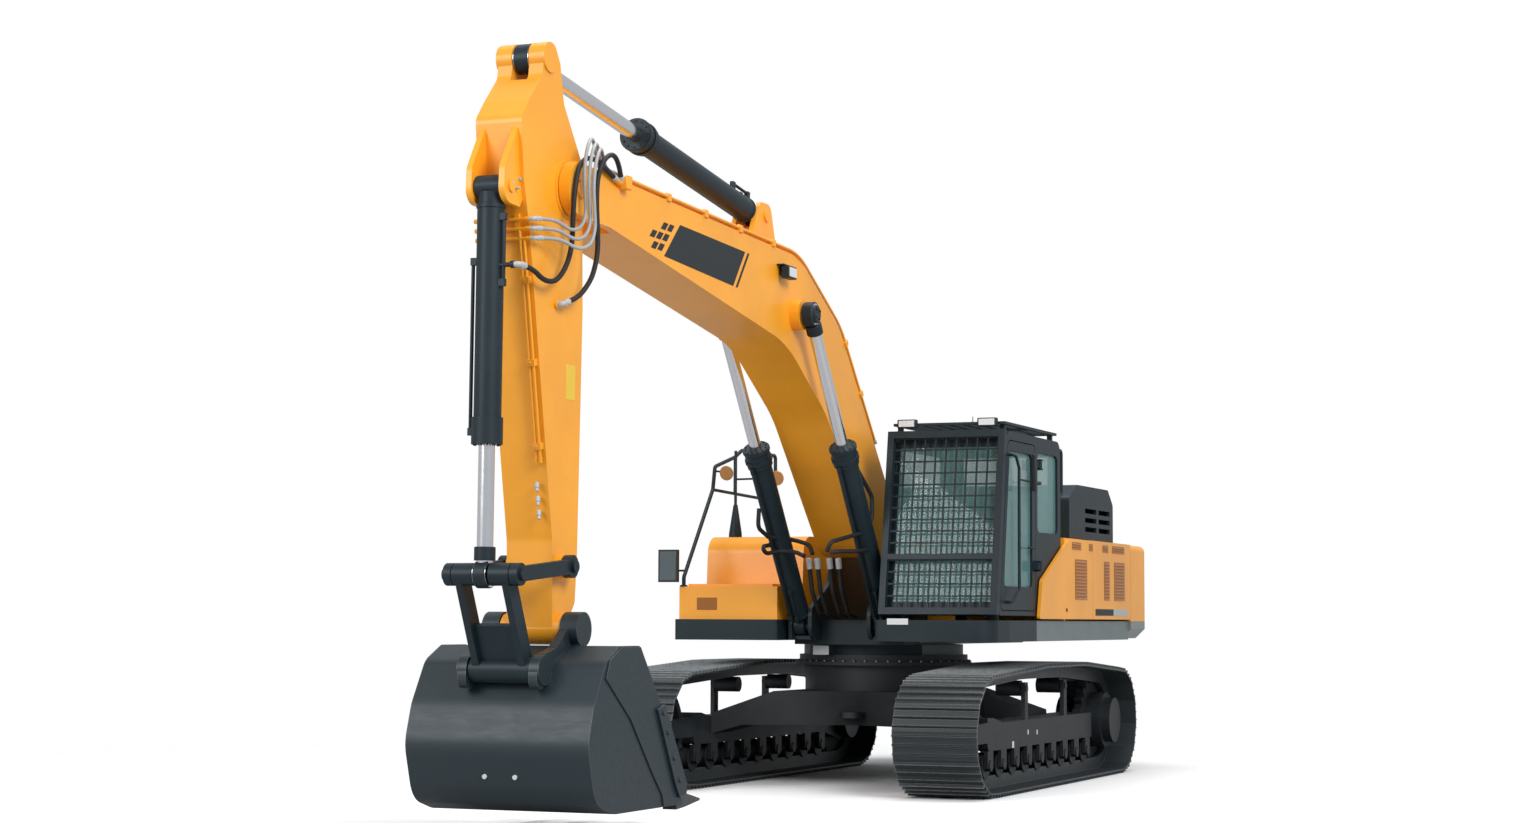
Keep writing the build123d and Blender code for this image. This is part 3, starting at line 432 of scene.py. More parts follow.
# Orange-brown of the round mirrors: a painted reflection.
mirror_painted_reflection = plain_finish("mirror_painted_reflection", (0.45, 0.22, 0.06), 0.2, 8.0, 0.0)
bright_spot = plain_finish("bright_spot", (0.80, 0.82, 0.82), 0.5, 8.0, 0.0)
dark_plastic = plain_finish("dark_plastic", (0.018, 0.018, 0.020))
black_rubber = plain_finish("black_rubber", (0.012, 0.012, 0.013), 0.6, 90.0, 0.1)
seat_fabric = plain_finish("seat_fabric", (0.035, 0.037, 0.042), 0.9, 700.0, 0.4)
print("finishes", len(bpy.data.materials))

# %% [markdown]
# ## Finishes on the solid pieces
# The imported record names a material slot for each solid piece, as a drawing names a coating. One table
# from slot to finish dresses them all. Two pieces take a paint of their own: the counterweight and the
# deck, which carry the grey skirt.

# %% Dress the solids
FINISH_OF_SLOT = {
    "orange_paint": orange_paint,
    "dark_paint": slate_paint,
    "under_paint": under_paint,
    "track_steel": track_steel,
    "bucket_paint": bucket_steel,
    "tooth_steel": tooth_steel,
    "rod_chrome": rod_chrome,
    "window_glass": window_glass,
    "dark_plastic": dark_plastic,
    "seat_fabric": seat_fabric,
    "engine_iron": engine_iron,
}
FINISH_OF_NODE = {"counterweight": weight_paint, "upper_frame": deck_paint}
for row in frame["record"]["subparts"]:
    coating = FINISH_OF_NODE.get(row["node"], FINISH_OF_SLOT[row["material_slot"]])
    mesh = nodes[row["node"]].data
    mesh.materials.clear()
    mesh.materials.append(coating)

# %% [markdown]
# ## Forms worked out as whole arrays
# Pipes, bolts, plates and rings are all one idea: a ring of points carried along a line. Modelling
# each by hand would give the same shapes, but not a hundred of them in a few lines. Each helper
# returns points in millimetres with their faces, and its docstring gives its formula in words.

# %% Rings joined to a closed form


def unit(vector):
    vector = np.asarray(vector, float)
    return vector / np.linalg.norm(vector, axis=-1, keepdims=True)


def closed_rings(rings):
    """Each ring is joined to the next by quads, and the first and last ring are filled."""
    count, sides = rings.shape[:2]
    index = np.arange(count * sides).reshape(count, sides)
    after = np.roll(index, -1, axis=1)
    quads = np.stack((index[:-1], index[1:], after[1:], after[:-1]), axis=-1).reshape(-1, 4)
    return rings.reshape(-1, 3), quads.tolist() + [index[0].tolist(), index[-1][::-1].tolist()]


def prism(outline, low, high, level="y"):
    """An outline carried along one axis from low to high. Its two numbers are the other two axes."""
    across = [i for i in range(3) if "xyz"[i] != level]
    rings = np.zeros((2, len(outline), 3))
    rings[:, :, across] = outline
    rings[0, :, "xyz".index(level)] = low
    rings[1, :, "xyz".index(level)] = high
    return closed_rings(rings)


def slab(x0, x1, y0, y1, z0, z1):
    """A plate or bar between two corners."""
    return prism([(x0, z0), (x1, z0), (x1, z1), (x0, z1)], y0, y1)


print("prism helpers ready")

# %% [markdown]
# ## Round forms
# A nut, a collar or a ring is a profile turned about an axis, as on a lathe. Blender's Screw modifier
# does that too, but only about an object's own axes, and these parts point along slanting cylinders.

# %% Turned forms


def circle_about(axis, sides, phase=0.0):
    """cos(a) * side + sin(a) * up for evenly spaced a, where side and up stand across the axis."""
    axis = unit(axis)
    side = unit(np.cross(axis, (0.0, 0.0, 1.0) if abs(axis[2]) < 0.9 else (1.0, 0.0, 0.0)))
    angle = np.linspace(0, 2 * math.pi, sides, endpoint=False)[:, None] + phase
    return np.cos(angle) * side + np.sin(angle) * np.cross(axis, side)


def turned(profile, place, axis, sides=24):
    """Point = place + distance * axis + radius * circle, for each (distance, radius) of the profile."""
    profile = np.asarray(profile, float)
    rings = np.asarray(place, float) + profile[:, 0, None, None] * unit(axis)
    return closed_rings(rings + profile[:, 1, None, None] * circle_about(axis, sides))


def sleeve(inner, outer, low, high, place, axis, sides=32):
    """A ring of rectangular section: its four corners go round the axis, and both ways close."""
    section = np.array([(low, inner), (low, outer), (high, outer), (high, inner)], float)
    rings = np.asarray(place, float) + section[:, 0, None, None] * unit(axis)
    grid = rings + section[:, 1, None, None] * circle_about(axis, sides)
    index = np.arange(4 * sides).reshape(4, sides)
    down, after = np.roll(index, -1, axis=0), np.roll(index, -1, axis=1)
    quads = np.stack((index, down, np.roll(down, -1, axis=1), after), axis=-1).reshape(-1, 4)
    return grid.reshape(-1, 3), quads.tolist()


def bolt(place, axis, radius=9.0, height=8.0):
    """A six-sided head with a small chamfer."""
    return turned([(-2, radius), (height * 0.75, radius), (height, radius * 0.84)], place, axis, 6)


print("turning helpers ready")

# %% [markdown]
# ## Bent pipes
# A pipe bender leaves straight runs joined by arcs. A bevelled curve object draws the same pipe, but
# its corners are eased by handles, not by a radius. So the corners become arcs first, and a circle is
# then carried along the line.

# %% Bends and tubes
ARC_POINTS = 9


def bent(points, radius):
    """Runs joined by arcs. Arc point = centre + (sin((1-s)f) * first + sin(s f) * last) / sin(f)."""
    points = np.asarray(points, float)
    parts = [points[:1]]
    for before, corner, after in zip(points, points[1:], points[2:]):
        a, b = unit(before - corner), unit(after - corner)
        half = math.acos(np.clip(a @ b, -1, 1)) / 2
        room = min(np.linalg.norm(before - corner), np.linalg.norm(after - corner))
        reach = min(radius / math.tan(half), 0.48 * room)
        centre = corner + unit(a + b) * reach / math.cos(half)
        first, last = corner + a * reach - centre, corner + b * reach - centre
        angle = math.pi - 2 * half
        s = np.linspace(0, 1, ARC_POINTS)[:, None]
        swept = np.sin((1 - s) * angle) * first + np.sin(s * angle) * last
        parts.append(centre + swept / math.sin(angle))
    return np.concatenate(parts + [points[-1:]])


def tube(line, radius, sides=14):
    """Rings across a line. side = run x normal of the line's flattest plane, up = side x run."""
    line = np.asarray(line, float)
    step = unit(np.diff(line, axis=0))
    run = unit(np.concatenate((step[:1], step[:-1] + step[1:], step[-1:])))
    normal = np.linalg.svd(line - line.mean(axis=0))[2][2]
    side = unit(np.cross(run, normal))
    up = np.cross(side, run)
    angle = np.linspace(0, 2 * math.pi, sides, endpoint=False)[None, :, None]
    circle = np.cos(angle) * side[:, None] + np.sin(angle) * up[:, None]
    return closed_rings(line[:, None] + radius * circle)


print("pipe helpers ready")

# %% [markdown]
# ## A piece from forms
# Small forms with the same finish and the same moving body become one mesh, which keeps the list of
# pieces readable. The normals are turned outwards, and sharp edges stay crisp. A fine bevel catches
# the light as real edges do.

# %% A piece
CRISP_DEGREES = 35


def piece(name, forms, body, finish, bevel=0.0, blended=False):
    """Joins forms to one mesh in metres, at the origin, dresses it and, unless blended, lets it ride on a body."""
    points = np.concatenate([form[0] for form in forms]) * MM
    starts = np.cumsum([0] + [len(form[0]) for form in forms])
    faces = [[i + int(start) for i in face] for form, start in zip(forms, starts) for face in form[1]]
    mesh = bpy.data.meshes.new(name)
    mesh.from_pydata(points, [], faces)
    work = bmesh.new()
    work.from_mesh(mesh)
    bmesh.ops.recalc_face_normals(work, faces=work.faces)
    work.to_mesh(mesh)
    work.free()
    mesh.polygons.foreach_set("use_smooth", np.ones(len(mesh.polygons), bool))
    mesh.set_sharp_from_angle(angle=math.radians(CRISP_DEGREES))
    mesh.materials.append(finish)
    made = bpy.data.objects.new(name, mesh)
    bpy.context.scene.collection.objects.link(made)
    if bevel:
        rounding = made.modifiers.new("edges", "BEVEL")
        rounding.width = bevel * MM
        rounding.segments = 2
        rounding.limit_method = "ANGLE"
    if not blended:
        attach(made, body)
    return made


print("piece helper ready")

# %% [markdown]
# ## Lines in the side view
# Boom, arm and cylinders lie in upright planes, so their pipes and clamps are laid out as on a side
# view, in x and z, and get their y last. Full 3-D vectors would do it too, but a drawing has only
# these two numbers. Left means left of a run from a to b.

# %% Side view helpers


def left_of(a, b):
    """The direction that points to the left of the run from a to b."""
    run = unit(np.subtract(b, a))
    return np.array((-run[1], run[0]))


def spot(a, b, distance, offset=0.0):
    """The point at a distance from a towards b, moved to the left of that run by offset."""
    return np.asarray(a, float) + unit(np.subtract(b, a)) * distance + left_of(a, b) * offset


def beside(line, offset):
    """A line's corners moved to its left. At a corner the shift is n1 + n2, divided by 1 + n1 . n2."""
    normals = np.array([left_of(a, b) for a, b in zip(line, line[1:])])
    middle = (normals[:-1] + normals[1:]) / (1 + (normals[:-1] * normals[1:]).sum(axis=1))[:, None]
    return line + offset * np.concatenate((normals[:1], middle, normals[-1:]))


def upright(points, y):
    """Points of the side view, put at a distance y to the left of the machine's middle."""
    return np.insert(np.asarray(points, float), 1, y, axis=-1)


def clamp(a, b, distance, y0, y1, length, low, high):
    """A block across pipes, on the run from a to b, from low to high on its left side."""
    half = length / 2
    section = ((-half, low), (half, low), (half, high), (-half, high))
    return prism([spot(a, b, distance + along, height) for along, height in section], y0, y1)


print("side view helpers ready")

# %% [markdown]
# ## Pipes along the boom
# Four steel pipes carry oil along the boom's upper left edge, held by clamp blocks. Each is a circle
# carried along the boom's top line, moved outwards by a fixed stand-off. Rings of points stand only in
# the corners' arcs, where a subdivided curve would add them along the straight runs too.

# %% Boom pipes
BOOM_TOP_LINE = np.array([(6300.0, 4385.0), (2700.0, 4275.0), (1750.0, 3790.0), (230.0, 2170.0)])
PIPE_YS = (154.0, 182.0, 210.0, 238.0)
PIPE_RADIUS = 11.0
PIPE_STAND = 28.0
PIPE_BEND = 900.0
PIPE_FRONT_GAPS = (330.0, 190.0, 190.0, 190.0)
PIPE_REAR_LENGTH = 1240.0
PIPE_NUT = [(-6, 13), (-6, 16), (26, 16), (30, 12.5)]
# A clamp's place is the number of its run in the boom's top line, and the distance along that run.
CLAMP_PLACES = ((0, 420), (0, 1080), (0, 1740), (0, 2400), (0, 3060), (2, 160), (2, 700))
CLAMP_LENGTH = 54.0
CLAMP_MARGIN = 17.0
CLAMP_TOP = PIPE_STAND + PIPE_RADIUS + 10
CLAMP_SINK = 6.0
CLAMP_BOLT_YS = (168, 224)

pipe_line = beside(BOOM_TOP_LINE, -PIPE_STAND)
pipe_end = spot(pipe_line[2], pipe_line[3], PIPE_REAR_LENGTH)
pipe_forms, clamp_forms, nut_forms = [], [], []
for pipe_y, front_gap in zip(PIPE_YS, PIPE_FRONT_GAPS):
    pipe_start = spot(pipe_line[0], pipe_line[1], front_gap)
    route = upright([pipe_start, pipe_line[1], pipe_line[2], pipe_end], pipe_y)
    pipe_forms.append(tube(bent(route, PIPE_BEND), PIPE_RADIUS))
    for end, inner in ((pipe_start, pipe_line[1]), (pipe_end, pipe_line[2])):
        inward = unit(upright(inner, 0) - upright(end, 0))
        nut_forms.append(turned(PIPE_NUT, upright(end, pipe_y), inward, 6))
for run, distance in CLAMP_PLACES:
    a, b = BOOM_TOP_LINE[run], BOOM_TOP_LINE[run + 1]
    clamp_forms.append(clamp(a, b, distance, PIPE_YS[0] - CLAMP_MARGIN, PIPE_YS[-1] + CLAMP_MARGIN,
                             CLAMP_LENGTH, -CLAMP_TOP, CLAMP_SINK))
    for bolt_y in CLAMP_BOLT_YS:
        clamp_forms.append(bolt(upright(spot(a, b, distance, -CLAMP_TOP), bolt_y),
                                upright(-left_of(a, b), 0), 9, 9))
piece("boom_pipes", pipe_forms, "boom", orange_paint)
piece("boom_pipe_clamps", clamp_forms, "boom", orange_paint, bevel=3)
piece("boom_pipe_fittings", nut_forms, "boom", zinc)
print("boom pipes", len(pipe_forms), "clamps", len(CLAMP_PLACES))

# %% [markdown]
# ## A hose from the boom to the arm
# Where the arm turns, the pipes hand over to hoses that hang in loops, so that the arm can swing. Each
# route is a smooth spline through the air, and the tube follows the line that Blender gives for it. A
# simulated cord would find its own loop, but not the one in the picture. The hose itself rides on no
# body, its elbow rides on the arm and its crimped end on the boom.

# %% A hose
ELBOW_REACH = 45.0
ELBOW_FOOT = 185.0
ELBOW_BEND = 30.0


def spline_line(name, points):
    """The line, in metres, of a smooth spline of order 3 with the route's points as its controls."""
    data = bpy.data.curves.new(name + "_route", "CURVE")
    data.dimensions = "3D"
    data.resolution_u = 7
    spline = data.splines.new("NURBS")
    spline.points.add(len(points) - 1)
    spline.points.foreach_set("co", np.insert(np.asarray(points) * MM, 3, 1.0, axis=1).ravel())
    spline.order_u = 3
    spline.use_endpoint_u = True
    carrier = bpy.data.objects.new(name + "_route", data)
    mesh = bpy.data.meshes.new_from_object(carrier)
    line = np.empty(len(mesh.vertices) * 3)
    mesh.vertices.foreach_get("co", line)
    bpy.data.objects.remove(carrier)
    bpy.data.meshes.remove(mesh)
    return line.reshape(-1, 3)


def hose_elbow(name, last, place, radius):
    """The bent end on the arm, with its sleeve and nut. It starts at place and turns in at last."""
    away = last - place
    line = bent([place, last, (last[0], ELBOW_FOOT, last[2])], ELBOW_BEND)
    crimp = [(-34, radius + 1), (-34, radius + 5), (10, radius + 5), (10, radius + 1)]
    forms = [tube(line, radius + 2, 14), turned(crimp, place, away, 16), bolt(place, away, radius + 7, 16)]
    return piece(name, forms, "arm", zinc)


def hose_ferrule(name, first, away, radius):
    """The crimped end on the boom, with its nut."""
    crimp = [(-4, radius + 1), (-4, radius + 4), (36, radius + 4), (40, radius + 1)]
    forms = [turned(crimp, first, away, 16), bolt(first - unit(away) * 12, away, radius + 3, 16)]
    return piece(name, forms, "boom", zinc)


def hose(name, points, radius, finish, start, end):
    """A hose from the boom's side to an elbow on the arm. start and end are not used."""
    points = np.asarray(points, float)
    last = points[-1].copy()
    points[-1] = last + unit(points[-2] - last) * ELBOW_REACH
    line = spline_line(name, points)
    made = piece(name, [tube(line / MM, radius, 16)], None, finish, blended=True)
    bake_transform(made)
    elbow = hose_elbow(name + "_elbow", last, points[-1], radius)
    hose_ferrule(name + "_ferrule", points[0], points[1] - points[0], radius)


print("hose helpers ready")

# %% [markdown]
# ## The five hoses
# Three hoses have a bright steel braid and run side by side, so one route serves them all, with the
# step from each point to the next hose's point beside it. Two are black rubber and hang in longer
# loops, one to the bucket cylinder and one to the arm. The points are placed on the picture.

# %% Routes of the hoses
GREY_RADIUS = 12.0
BLACK_RADIUS = 17.0
GREY_ROUTE = [((6115.2, 182, 4407.4), (0, 28, 0)), ((6227.2, 182, 4410.8), (0, 28, 0)),
              ((6330, 206, 4500), (0, 29, -22)), ((6440, 240, 4578), (0, 30, -32)),
              ((6590, 290, 4560), (-5, 32, -38)), ((6690, 310, 4450), (-5, 32, -38)),
              ((6722, 312, 4300), (-5, 32, -38)), ((6704, 312, 4150), (-5, 32, -45)),
              ((6684, 311, 4045), (-5, 32, -55)), ((6740, 307, 3945), (-5, 30, -61)),
              ((6860, 290, 3905), (-5, 24, -61)), ((6990, 255, 3955), (-5, 14, -61)),
              ((7095, 226, 3955), (-8, 5, -61)), ((7244.5, 213, 3937.9), (-11.35, 0, -60.95))]
BARREL_ROUTE = [(6140, 263, 4362), (6290, 272, 4396), (6460, 274, 4440), (6620, 274, 4430),
                (6740, 276, 4340), (6790, 277, 4180), (6786, 264, 3990), (6774, 256, 3830),
                (6850, 256, 3680), (6985, 250, 3560), (7140, 236, 3550), (7265, 221, 3615),
                (7443, 213, 3620)]
ARM_ROUTE = [(6050, 263, 4366), (6150, 296, 4450), (6290, 316, 4510), (6430, 316, 4450),
             (6520, 312, 4320), (6535, 312, 4150), (6515, 312, 3980), (6500, 310, 3820),
             (6535, 302, 3690), (6575, 285, 3600), (6655, 240, 3490), (6830, 213, 3436)]
GREY_BEND = {"start": (6.50, 0.25, 4.45), "end": (6.95, 0.25, 3.90)}
BLACK_BEND = {"start": (6.50, 0.27, 4.40), "end": (6.80, 0.25, 3.70)}
for i in range(3):
    grey_points = [np.add(point, np.multiply(step, i)) for point, step in GREY_ROUTE]
    hose(f"grey_hose_{i + 1}", grey_points, GREY_RADIUS, steel_braid, **GREY_BEND)
for i, black_points in enumerate((BARREL_ROUTE, ARM_ROUTE)):
    hose(f"black_hose_{i + 1}", black_points, BLACK_RADIUS, black_rubber, **BLACK_BEND)

# %% [markdown]
# ## Where the black hoses begin and end
# On the boom they leave a small block, through two stubs. On the other side one ends in a port on the
# arm and one in a port on the bucket cylinder's barrel, which turns a little with the arm. Each port
# is a short tube at the route's last point, so it stays under the hose when the route changes.

# %% Manifold and ports
manifold_forms = [slab(5950, 6040, 230, 300, 4310, 4392)]
for black_points, length in ((BARREL_ROUTE, 90), (ARM_ROUTE, 60)):
    first, second = np.array(black_points[0], float), np.array(black_points[1], float)
    manifold_forms.append(tube([first - unit(second - first) * length, first], 20, 12))
piece("hose_manifold", manifold_forms, "boom", orange_paint, bevel=5)


def port(route, y0, y1, radius, sides):
    """A tube across the machine at the last point of a route, from y0 to y1."""
    x, _, z = route[-1]
    return tube([(x, y0, z), (x, y1, z)], radius, sides)


piece("hose_ports", [port(ARM_ROUTE, 160, 186, 26, 20)], "arm", orange_paint, bevel=2)
piece("barrel_port", [port(BARREL_ROUTE, 160, 186, 24, 20), port(BARREL_ROUTE, 60, 170, 15, 16)],
      "bucket_cylinder_barrel", slate_paint, bevel=2)
print("manifold and ports made")

# %% [markdown]
# ## Pipes on the arm
# Three pipes cross the arm's front face, where the braided hoses arrive, and the lower two go on down
# the front beside the bucket cylinder. They are painted with the arm, clamps and all, so they are
# pieces of the arm's own colour and not of steel.

# %% Arm pipes
ARM_FRONT_LINE = ((7206.0, 3884.0), (6838.0, 1904.0))
ARM_PIPE_YS = (108.0, 136.0)
ARM_PIPE_LENGTH = 1500
CROSSING_PLACES = (-60, 2, 64)
CROSSING_RIGHT, CROSSING_LEFT = -210, 185
CROSSING_NUTS = ((150, 186), (CROSSING_RIGHT, -150))
ARM_CLAMP_PLACES = (330, 860, 1400)
ARM_CLAMP_SINK = 8
ARM_CLAMP_TOP = PIPE_STAND + PIPE_RADIUS + 8

arm_top, arm_low = ARM_FRONT_LINE
arm_pipes, arm_clamps = [], []
for pipe_y, start in zip(ARM_PIPE_YS, CROSSING_PLACES[1:]):
    ends = upright([spot(arm_top, arm_low, start, PIPE_STAND),
                    spot(arm_top, arm_low, ARM_PIPE_LENGTH, PIPE_STAND)], pipe_y)
    arm_pipes.append(tube(ends, PIPE_RADIUS))
    arm_pipes.append(turned([(-30, 16), (8, 16), (8, 12)], ends[1], ends[1] - ends[0], 6))
outwards = upright(left_of(arm_top, arm_low), 0)
for distance in ARM_CLAMP_PLACES:
    arm_clamps.append(clamp(arm_top, arm_low, distance, 92, 152, 46, -ARM_CLAMP_SINK, ARM_CLAMP_TOP))
    arm_clamps.append(bolt(upright(spot(arm_top, arm_low, distance, ARM_CLAMP_TOP), 122), outwards))
for place in CROSSING_PLACES:
    x, z = spot(arm_top, arm_low, place, PIPE_STAND)
    arm_pipes.append(tube([(x, CROSSING_RIGHT, z), (x, CROSSING_LEFT, z)], PIPE_RADIUS))
    for low, high in CROSSING_NUTS:
        arm_pipes.append(tube([(x, low, z), (x, high, z)], PIPE_RADIUS + 5, 6))
for low, high in ((74, 110), (-110, -74)):
    arm_clamps.append(clamp(arm_top, arm_low, 0, low, high, 190, -ARM_CLAMP_SINK, PIPE_STAND))
piece("arm_pipes", arm_pipes, "arm", orange_paint)
piece("arm_pipe_clamps", arm_clamps, "arm", orange_paint, bevel=3)
print("arm pipes", len(arm_pipes), "clamp forms", len(arm_clamps))

# %% [markdown]
# ## Cylinders: glands, rod eyes and oil pipes
# Each cylinder's barrel ends in a bolted gland, and thin pipes bring oil to both ends. The rods end in
# black eyes. All of it follows the line from the base pin to the rod pin, so one record of sizes for
# each cylinder and one set of functions serve the three. Distances run along that line.

# %% Sizes of the cylinders
# base and tip are the two pins, and middles the cylinders' places across the machine. start and end
# are where the barrel's tube begins and ends. barrel, gland, rod and eye are radii. A pipe has its
# shift off the line, its shift across the machine, and the distances of its two ends.
CYLINDERS = {
    "boom": SimpleNamespace(
        base=pin_of("boom_cylinder_pivot"), tip=(2790, 3800), middles=(380.0, -380.0), start=116, end=1800,
        barrel=92, gland=106, gland_rings=True, rod=50, eye=85, eye_half=45, eye_wall=13,
        pipes=((-118, -26, 150, 1640), (-118, 26, 150, 420)),
        barrel_body="boom_cylinder_barrels", rod_body="boom_cylinder_rods"),
    "arm": SimpleNamespace(
        base=pin_of("arm_cylinder_pivot"), tip=(6950, 5040), middles=(0.0,), start=200, end=2240,
        barrel=95, gland=115, gland_rings=True, rod=55, eye=95, eye_half=55, eye_wall=4,
        pipes=((122, -30, 230, 2080), (122, 30, 230, 520)),
        barrel_body="arm_cylinder_barrel", rod_body="arm_cylinder_rod"),
    "bucket": SimpleNamespace(
        base=pin_of("bucket_cylinder_pivot"), tip=(7445, 1672), middles=(0.0,), start=116, end=1640,
        barrel=88, gland=100, gland_rings=False, rod=52, eye=82, eye_half=46, eye_wall=6,
        pipes=((22, 108, 200, 620), (22, -108, 480, 1560)),
        barrel_body="bucket_cylinder_barrel", rod_body="bucket_cylinder_rod"),
}
for kind, sizes in CYLINDERS.items():
    print(kind, "cylinder, pin to pin", round(math.dist(sizes.base, sizes.tip)), "mm")

# %% [markdown]
# ## The cylinders' small parts
# A pipe that runs beside the barrel is held from the side, and one that runs above or below it is held
# from there, so the block's rule looks at the pipe's sideways shift. On the bucket cylinder, which is
# the foremost part of the machine, the gland has no raised rings.

# %% Cylinder details
GLAND_RINGS = ((128, 96), (30, 8))
GLAND_BOLTS = 12
GLAND_BOLT_INSET = 18
BASE_RING_LENGTH = 26
RING_SINK = 3
BLOCK_LENGTH = 48
BLOCK_HALF = 16
BLOCK_COVER = 14
SIDE_PIPE_SHIFT = 60


def pipe_block(sizes, middle, offset, side, place):
    """A block from the barrel out to a pipe: across where the pipe runs beside it, else up or down."""
    if abs(side) > SIDE_PIPE_SHIFT:
        y0, y1 = sorted((middle + 0.62 * side, middle + side + math.copysign(BLOCK_COVER, side)))
        low, high = offset - BLOCK_HALF, offset + BLOCK_HALF
    else:
        y0, y1 = middle + side - BLOCK_HALF, middle + side + BLOCK_HALF
        low, high = sorted((offset * 0.6, offset + math.copysign(BLOCK_COVER, offset)))
    return clamp(sizes.base, sizes.tip, place, y0, y1, BLOCK_LENGTH, low, high)


def barrel_details(sizes, middle, axis):
    """Rings and bolts at the gland, a ring at the base, and the pipes with their blocks."""
    foot = upright(sizes.base, middle)
    forms = []
    for back, front in GLAND_RINGS if sizes.gland_rings else ():
        low, high = sizes.end - back, sizes.end - front
        forms.append(sleeve(sizes.gland - RING_SINK, sizes.gland + 9, low, high, foot, axis, 40))
    low, high = sizes.start, sizes.start + BASE_RING_LENGTH
    forms.append(sleeve(sizes.barrel - RING_SINK, sizes.barrel + 6, low, high, foot, axis, 40))
    for around in circle_about(axis, GLAND_BOLTS) * (sizes.gland - GLAND_BOLT_INSET):
        forms.append(bolt(foot + axis * sizes.end + around, axis, 8, 9))
    for offset, side, first, last in sizes.pipes:
        ends = [spot(sizes.base, sizes.tip, place, offset) for place in (first, last)]
        forms.append(tube(upright(ends, middle + side), 12, 12))
        forms += [pipe_block(sizes, middle, offset, side, place) for place in (first, last)]
    return forms


def rod_details(sizes, middle, axis):
    """The ring round the eye, and the collar where the rod meets it."""
    eye = upright(sizes.tip, middle)
    half = sizes.eye_half - 3
    return [sleeve(sizes.eye - 2, sizes.eye + sizes.eye_wall, -half, half, eye, (0, 1, 0), 40),
            sleeve(sizes.rod - 2, sizes.rod + 16, -sizes.eye - 90, -sizes.eye - 4, eye, axis, 32)]


for kind, sizes in CYLINDERS.items():
    axis = upright(unit(np.subtract(sizes.tip, sizes.base)), 0)
    barrel_forms = [form for middle in sizes.middles for form in barrel_details(sizes, middle, axis)]
    rod_forms = [form for middle in sizes.middles for form in rod_details(sizes, middle, axis)]
    piece(kind + "_barrel_fittings", barrel_forms, sizes.barrel_body, slate_paint, bevel=2)
    piece(kind + "_rod_eyes", rod_forms, sizes.rod_body, slate_paint, bevel=4)
print("cylinders dressed", len(CYLINDERS))

# %% [markdown]
# ## Caps on the boom cylinders' upper pins
# The pin that joins both rods to the boom is closed on each side by a round cap with four bolts. It is
# a turned disc with a chamfer, and the bolts stand on a circle about the same axis.

# %% Pin caps
CAP_FACE = 423
CAP_BOLT_FACE = 442
CAP_BOLT_CIRCLE = 46

pin_x, pin_z = CYLINDERS["boom"].tip
cap_forms = []
for side in (1, -1):
    cap_forms.append(turned([(0, 72), (14, 72), (20, 64)], (pin_x, side * CAP_FACE, pin_z), (0, side, 0), 32))
    for around in circle_about((0, 1, 0), 4, 0.6) * CAP_BOLT_CIRCLE:
        cap_forms.append(bolt(np.array((pin_x, side * CAP_BOLT_FACE, pin_z)) + around, (0, side, 0), 11, 10))
piece("boom_rod_caps", cap_forms, "boom_cylinder_rods", slate_paint, bevel=2)
print("cap forms", len(cap_forms))

# %% [markdown]
# ## Formed pipes at the boom's foot
# From behind the boom's foot, bent black pipes loop round to the two boom cylinders.
# They turn with the barrels, whose angle hardly differs from the boom's. Free cords would suit real
# hoses, but these are formed to shape, so they are bent lines and keep it.

# %% Boom foot pipes
FOOT_PIPE_BEND = 90
FOOT_PIPE_RADIUS = 18
FOOT_ROUTES = [
    [(1703, 380, 2626), (1467, 420, 2420), (1466, 420, 2242), (1612, 400, 2119), (2123, 300, 2026),
     (2099, 260, 1950)],
    [(1989, -380, 2309), (1964, -400, 2154), (1729, -400, 2082), (1443, -300, 2070), (1442, -150, 2029),
     (1488, -100, 1948)],
    [(1573, -420, 2027), (1811, -430, 2001), (1706, -430, 1945), (1532, -350, 1978), (1587, -200, 1956),
     (1628, -120, 1925)],
    [(1378, 420, 2047), (1436, 420, 1986), (1784, 380, 1958), (1959, 300, 1954), (1991, 250, 1944)]]
foot_forms = [tube(bent(route, FOOT_PIPE_BEND), FOOT_PIPE_RADIUS, 14) for route in FOOT_ROUTES]
piece("boom_foot_pipes", foot_forms, "boom_cylinder_barrels", black_rubber)
print("foot pipes", len(foot_forms))

# %% [markdown]
# ## Hoses down to the deck
# Four hoses rise from the deck under the boom's foot, each with a bright crimped sleeve and a nut at
# its upper end. They share one side view and differ only in y, so a loop over y makes them.

# %% Deck hoses
DROP_YS = (-205, -130, -20, 60)
DROP_LINE = [(890, 1425), (1060, 1450), (1225, 1640), (1300, 1890)]
DROP_BEND = 130
DROP_RADIUS = 19
DROP_SLEEVE = [(0, 20), (0, 26), (60, 26), (66, 20)]
SLEEVE_FOOT = (1282, 1830)
SLEEVE_AWAY = np.array((75, 0, 250.0))

drop_forms, silver_forms = [], []
for drop_y in DROP_YS:
    drop_forms.append(tube(bent(upright(DROP_LINE, drop_y), DROP_BEND), DROP_RADIUS, 14))
    silver_forms.append(turned(DROP_SLEEVE, upright(SLEEVE_FOOT, drop_y), SLEEVE_AWAY, 16))
    silver_forms.append(bolt(upright(DROP_LINE[-1], drop_y), SLEEVE_AWAY, 27, 26))
piece("boom_foot_hoses", drop_forms, "boom_cylinder_barrels", black_rubber)
piece("boom_foot_fittings", silver_forms, "boom_cylinder_barrels", zinc)
print("deck hoses", len(drop_forms))

# %% [markdown]
# ## The work lamp
# A work lamp sits on the boom's left side: a box on two brackets, under a small hood, with a pale lens
# in front. Plates with a fine bevel are enough, because a pressed lamp housing is all flat faces.

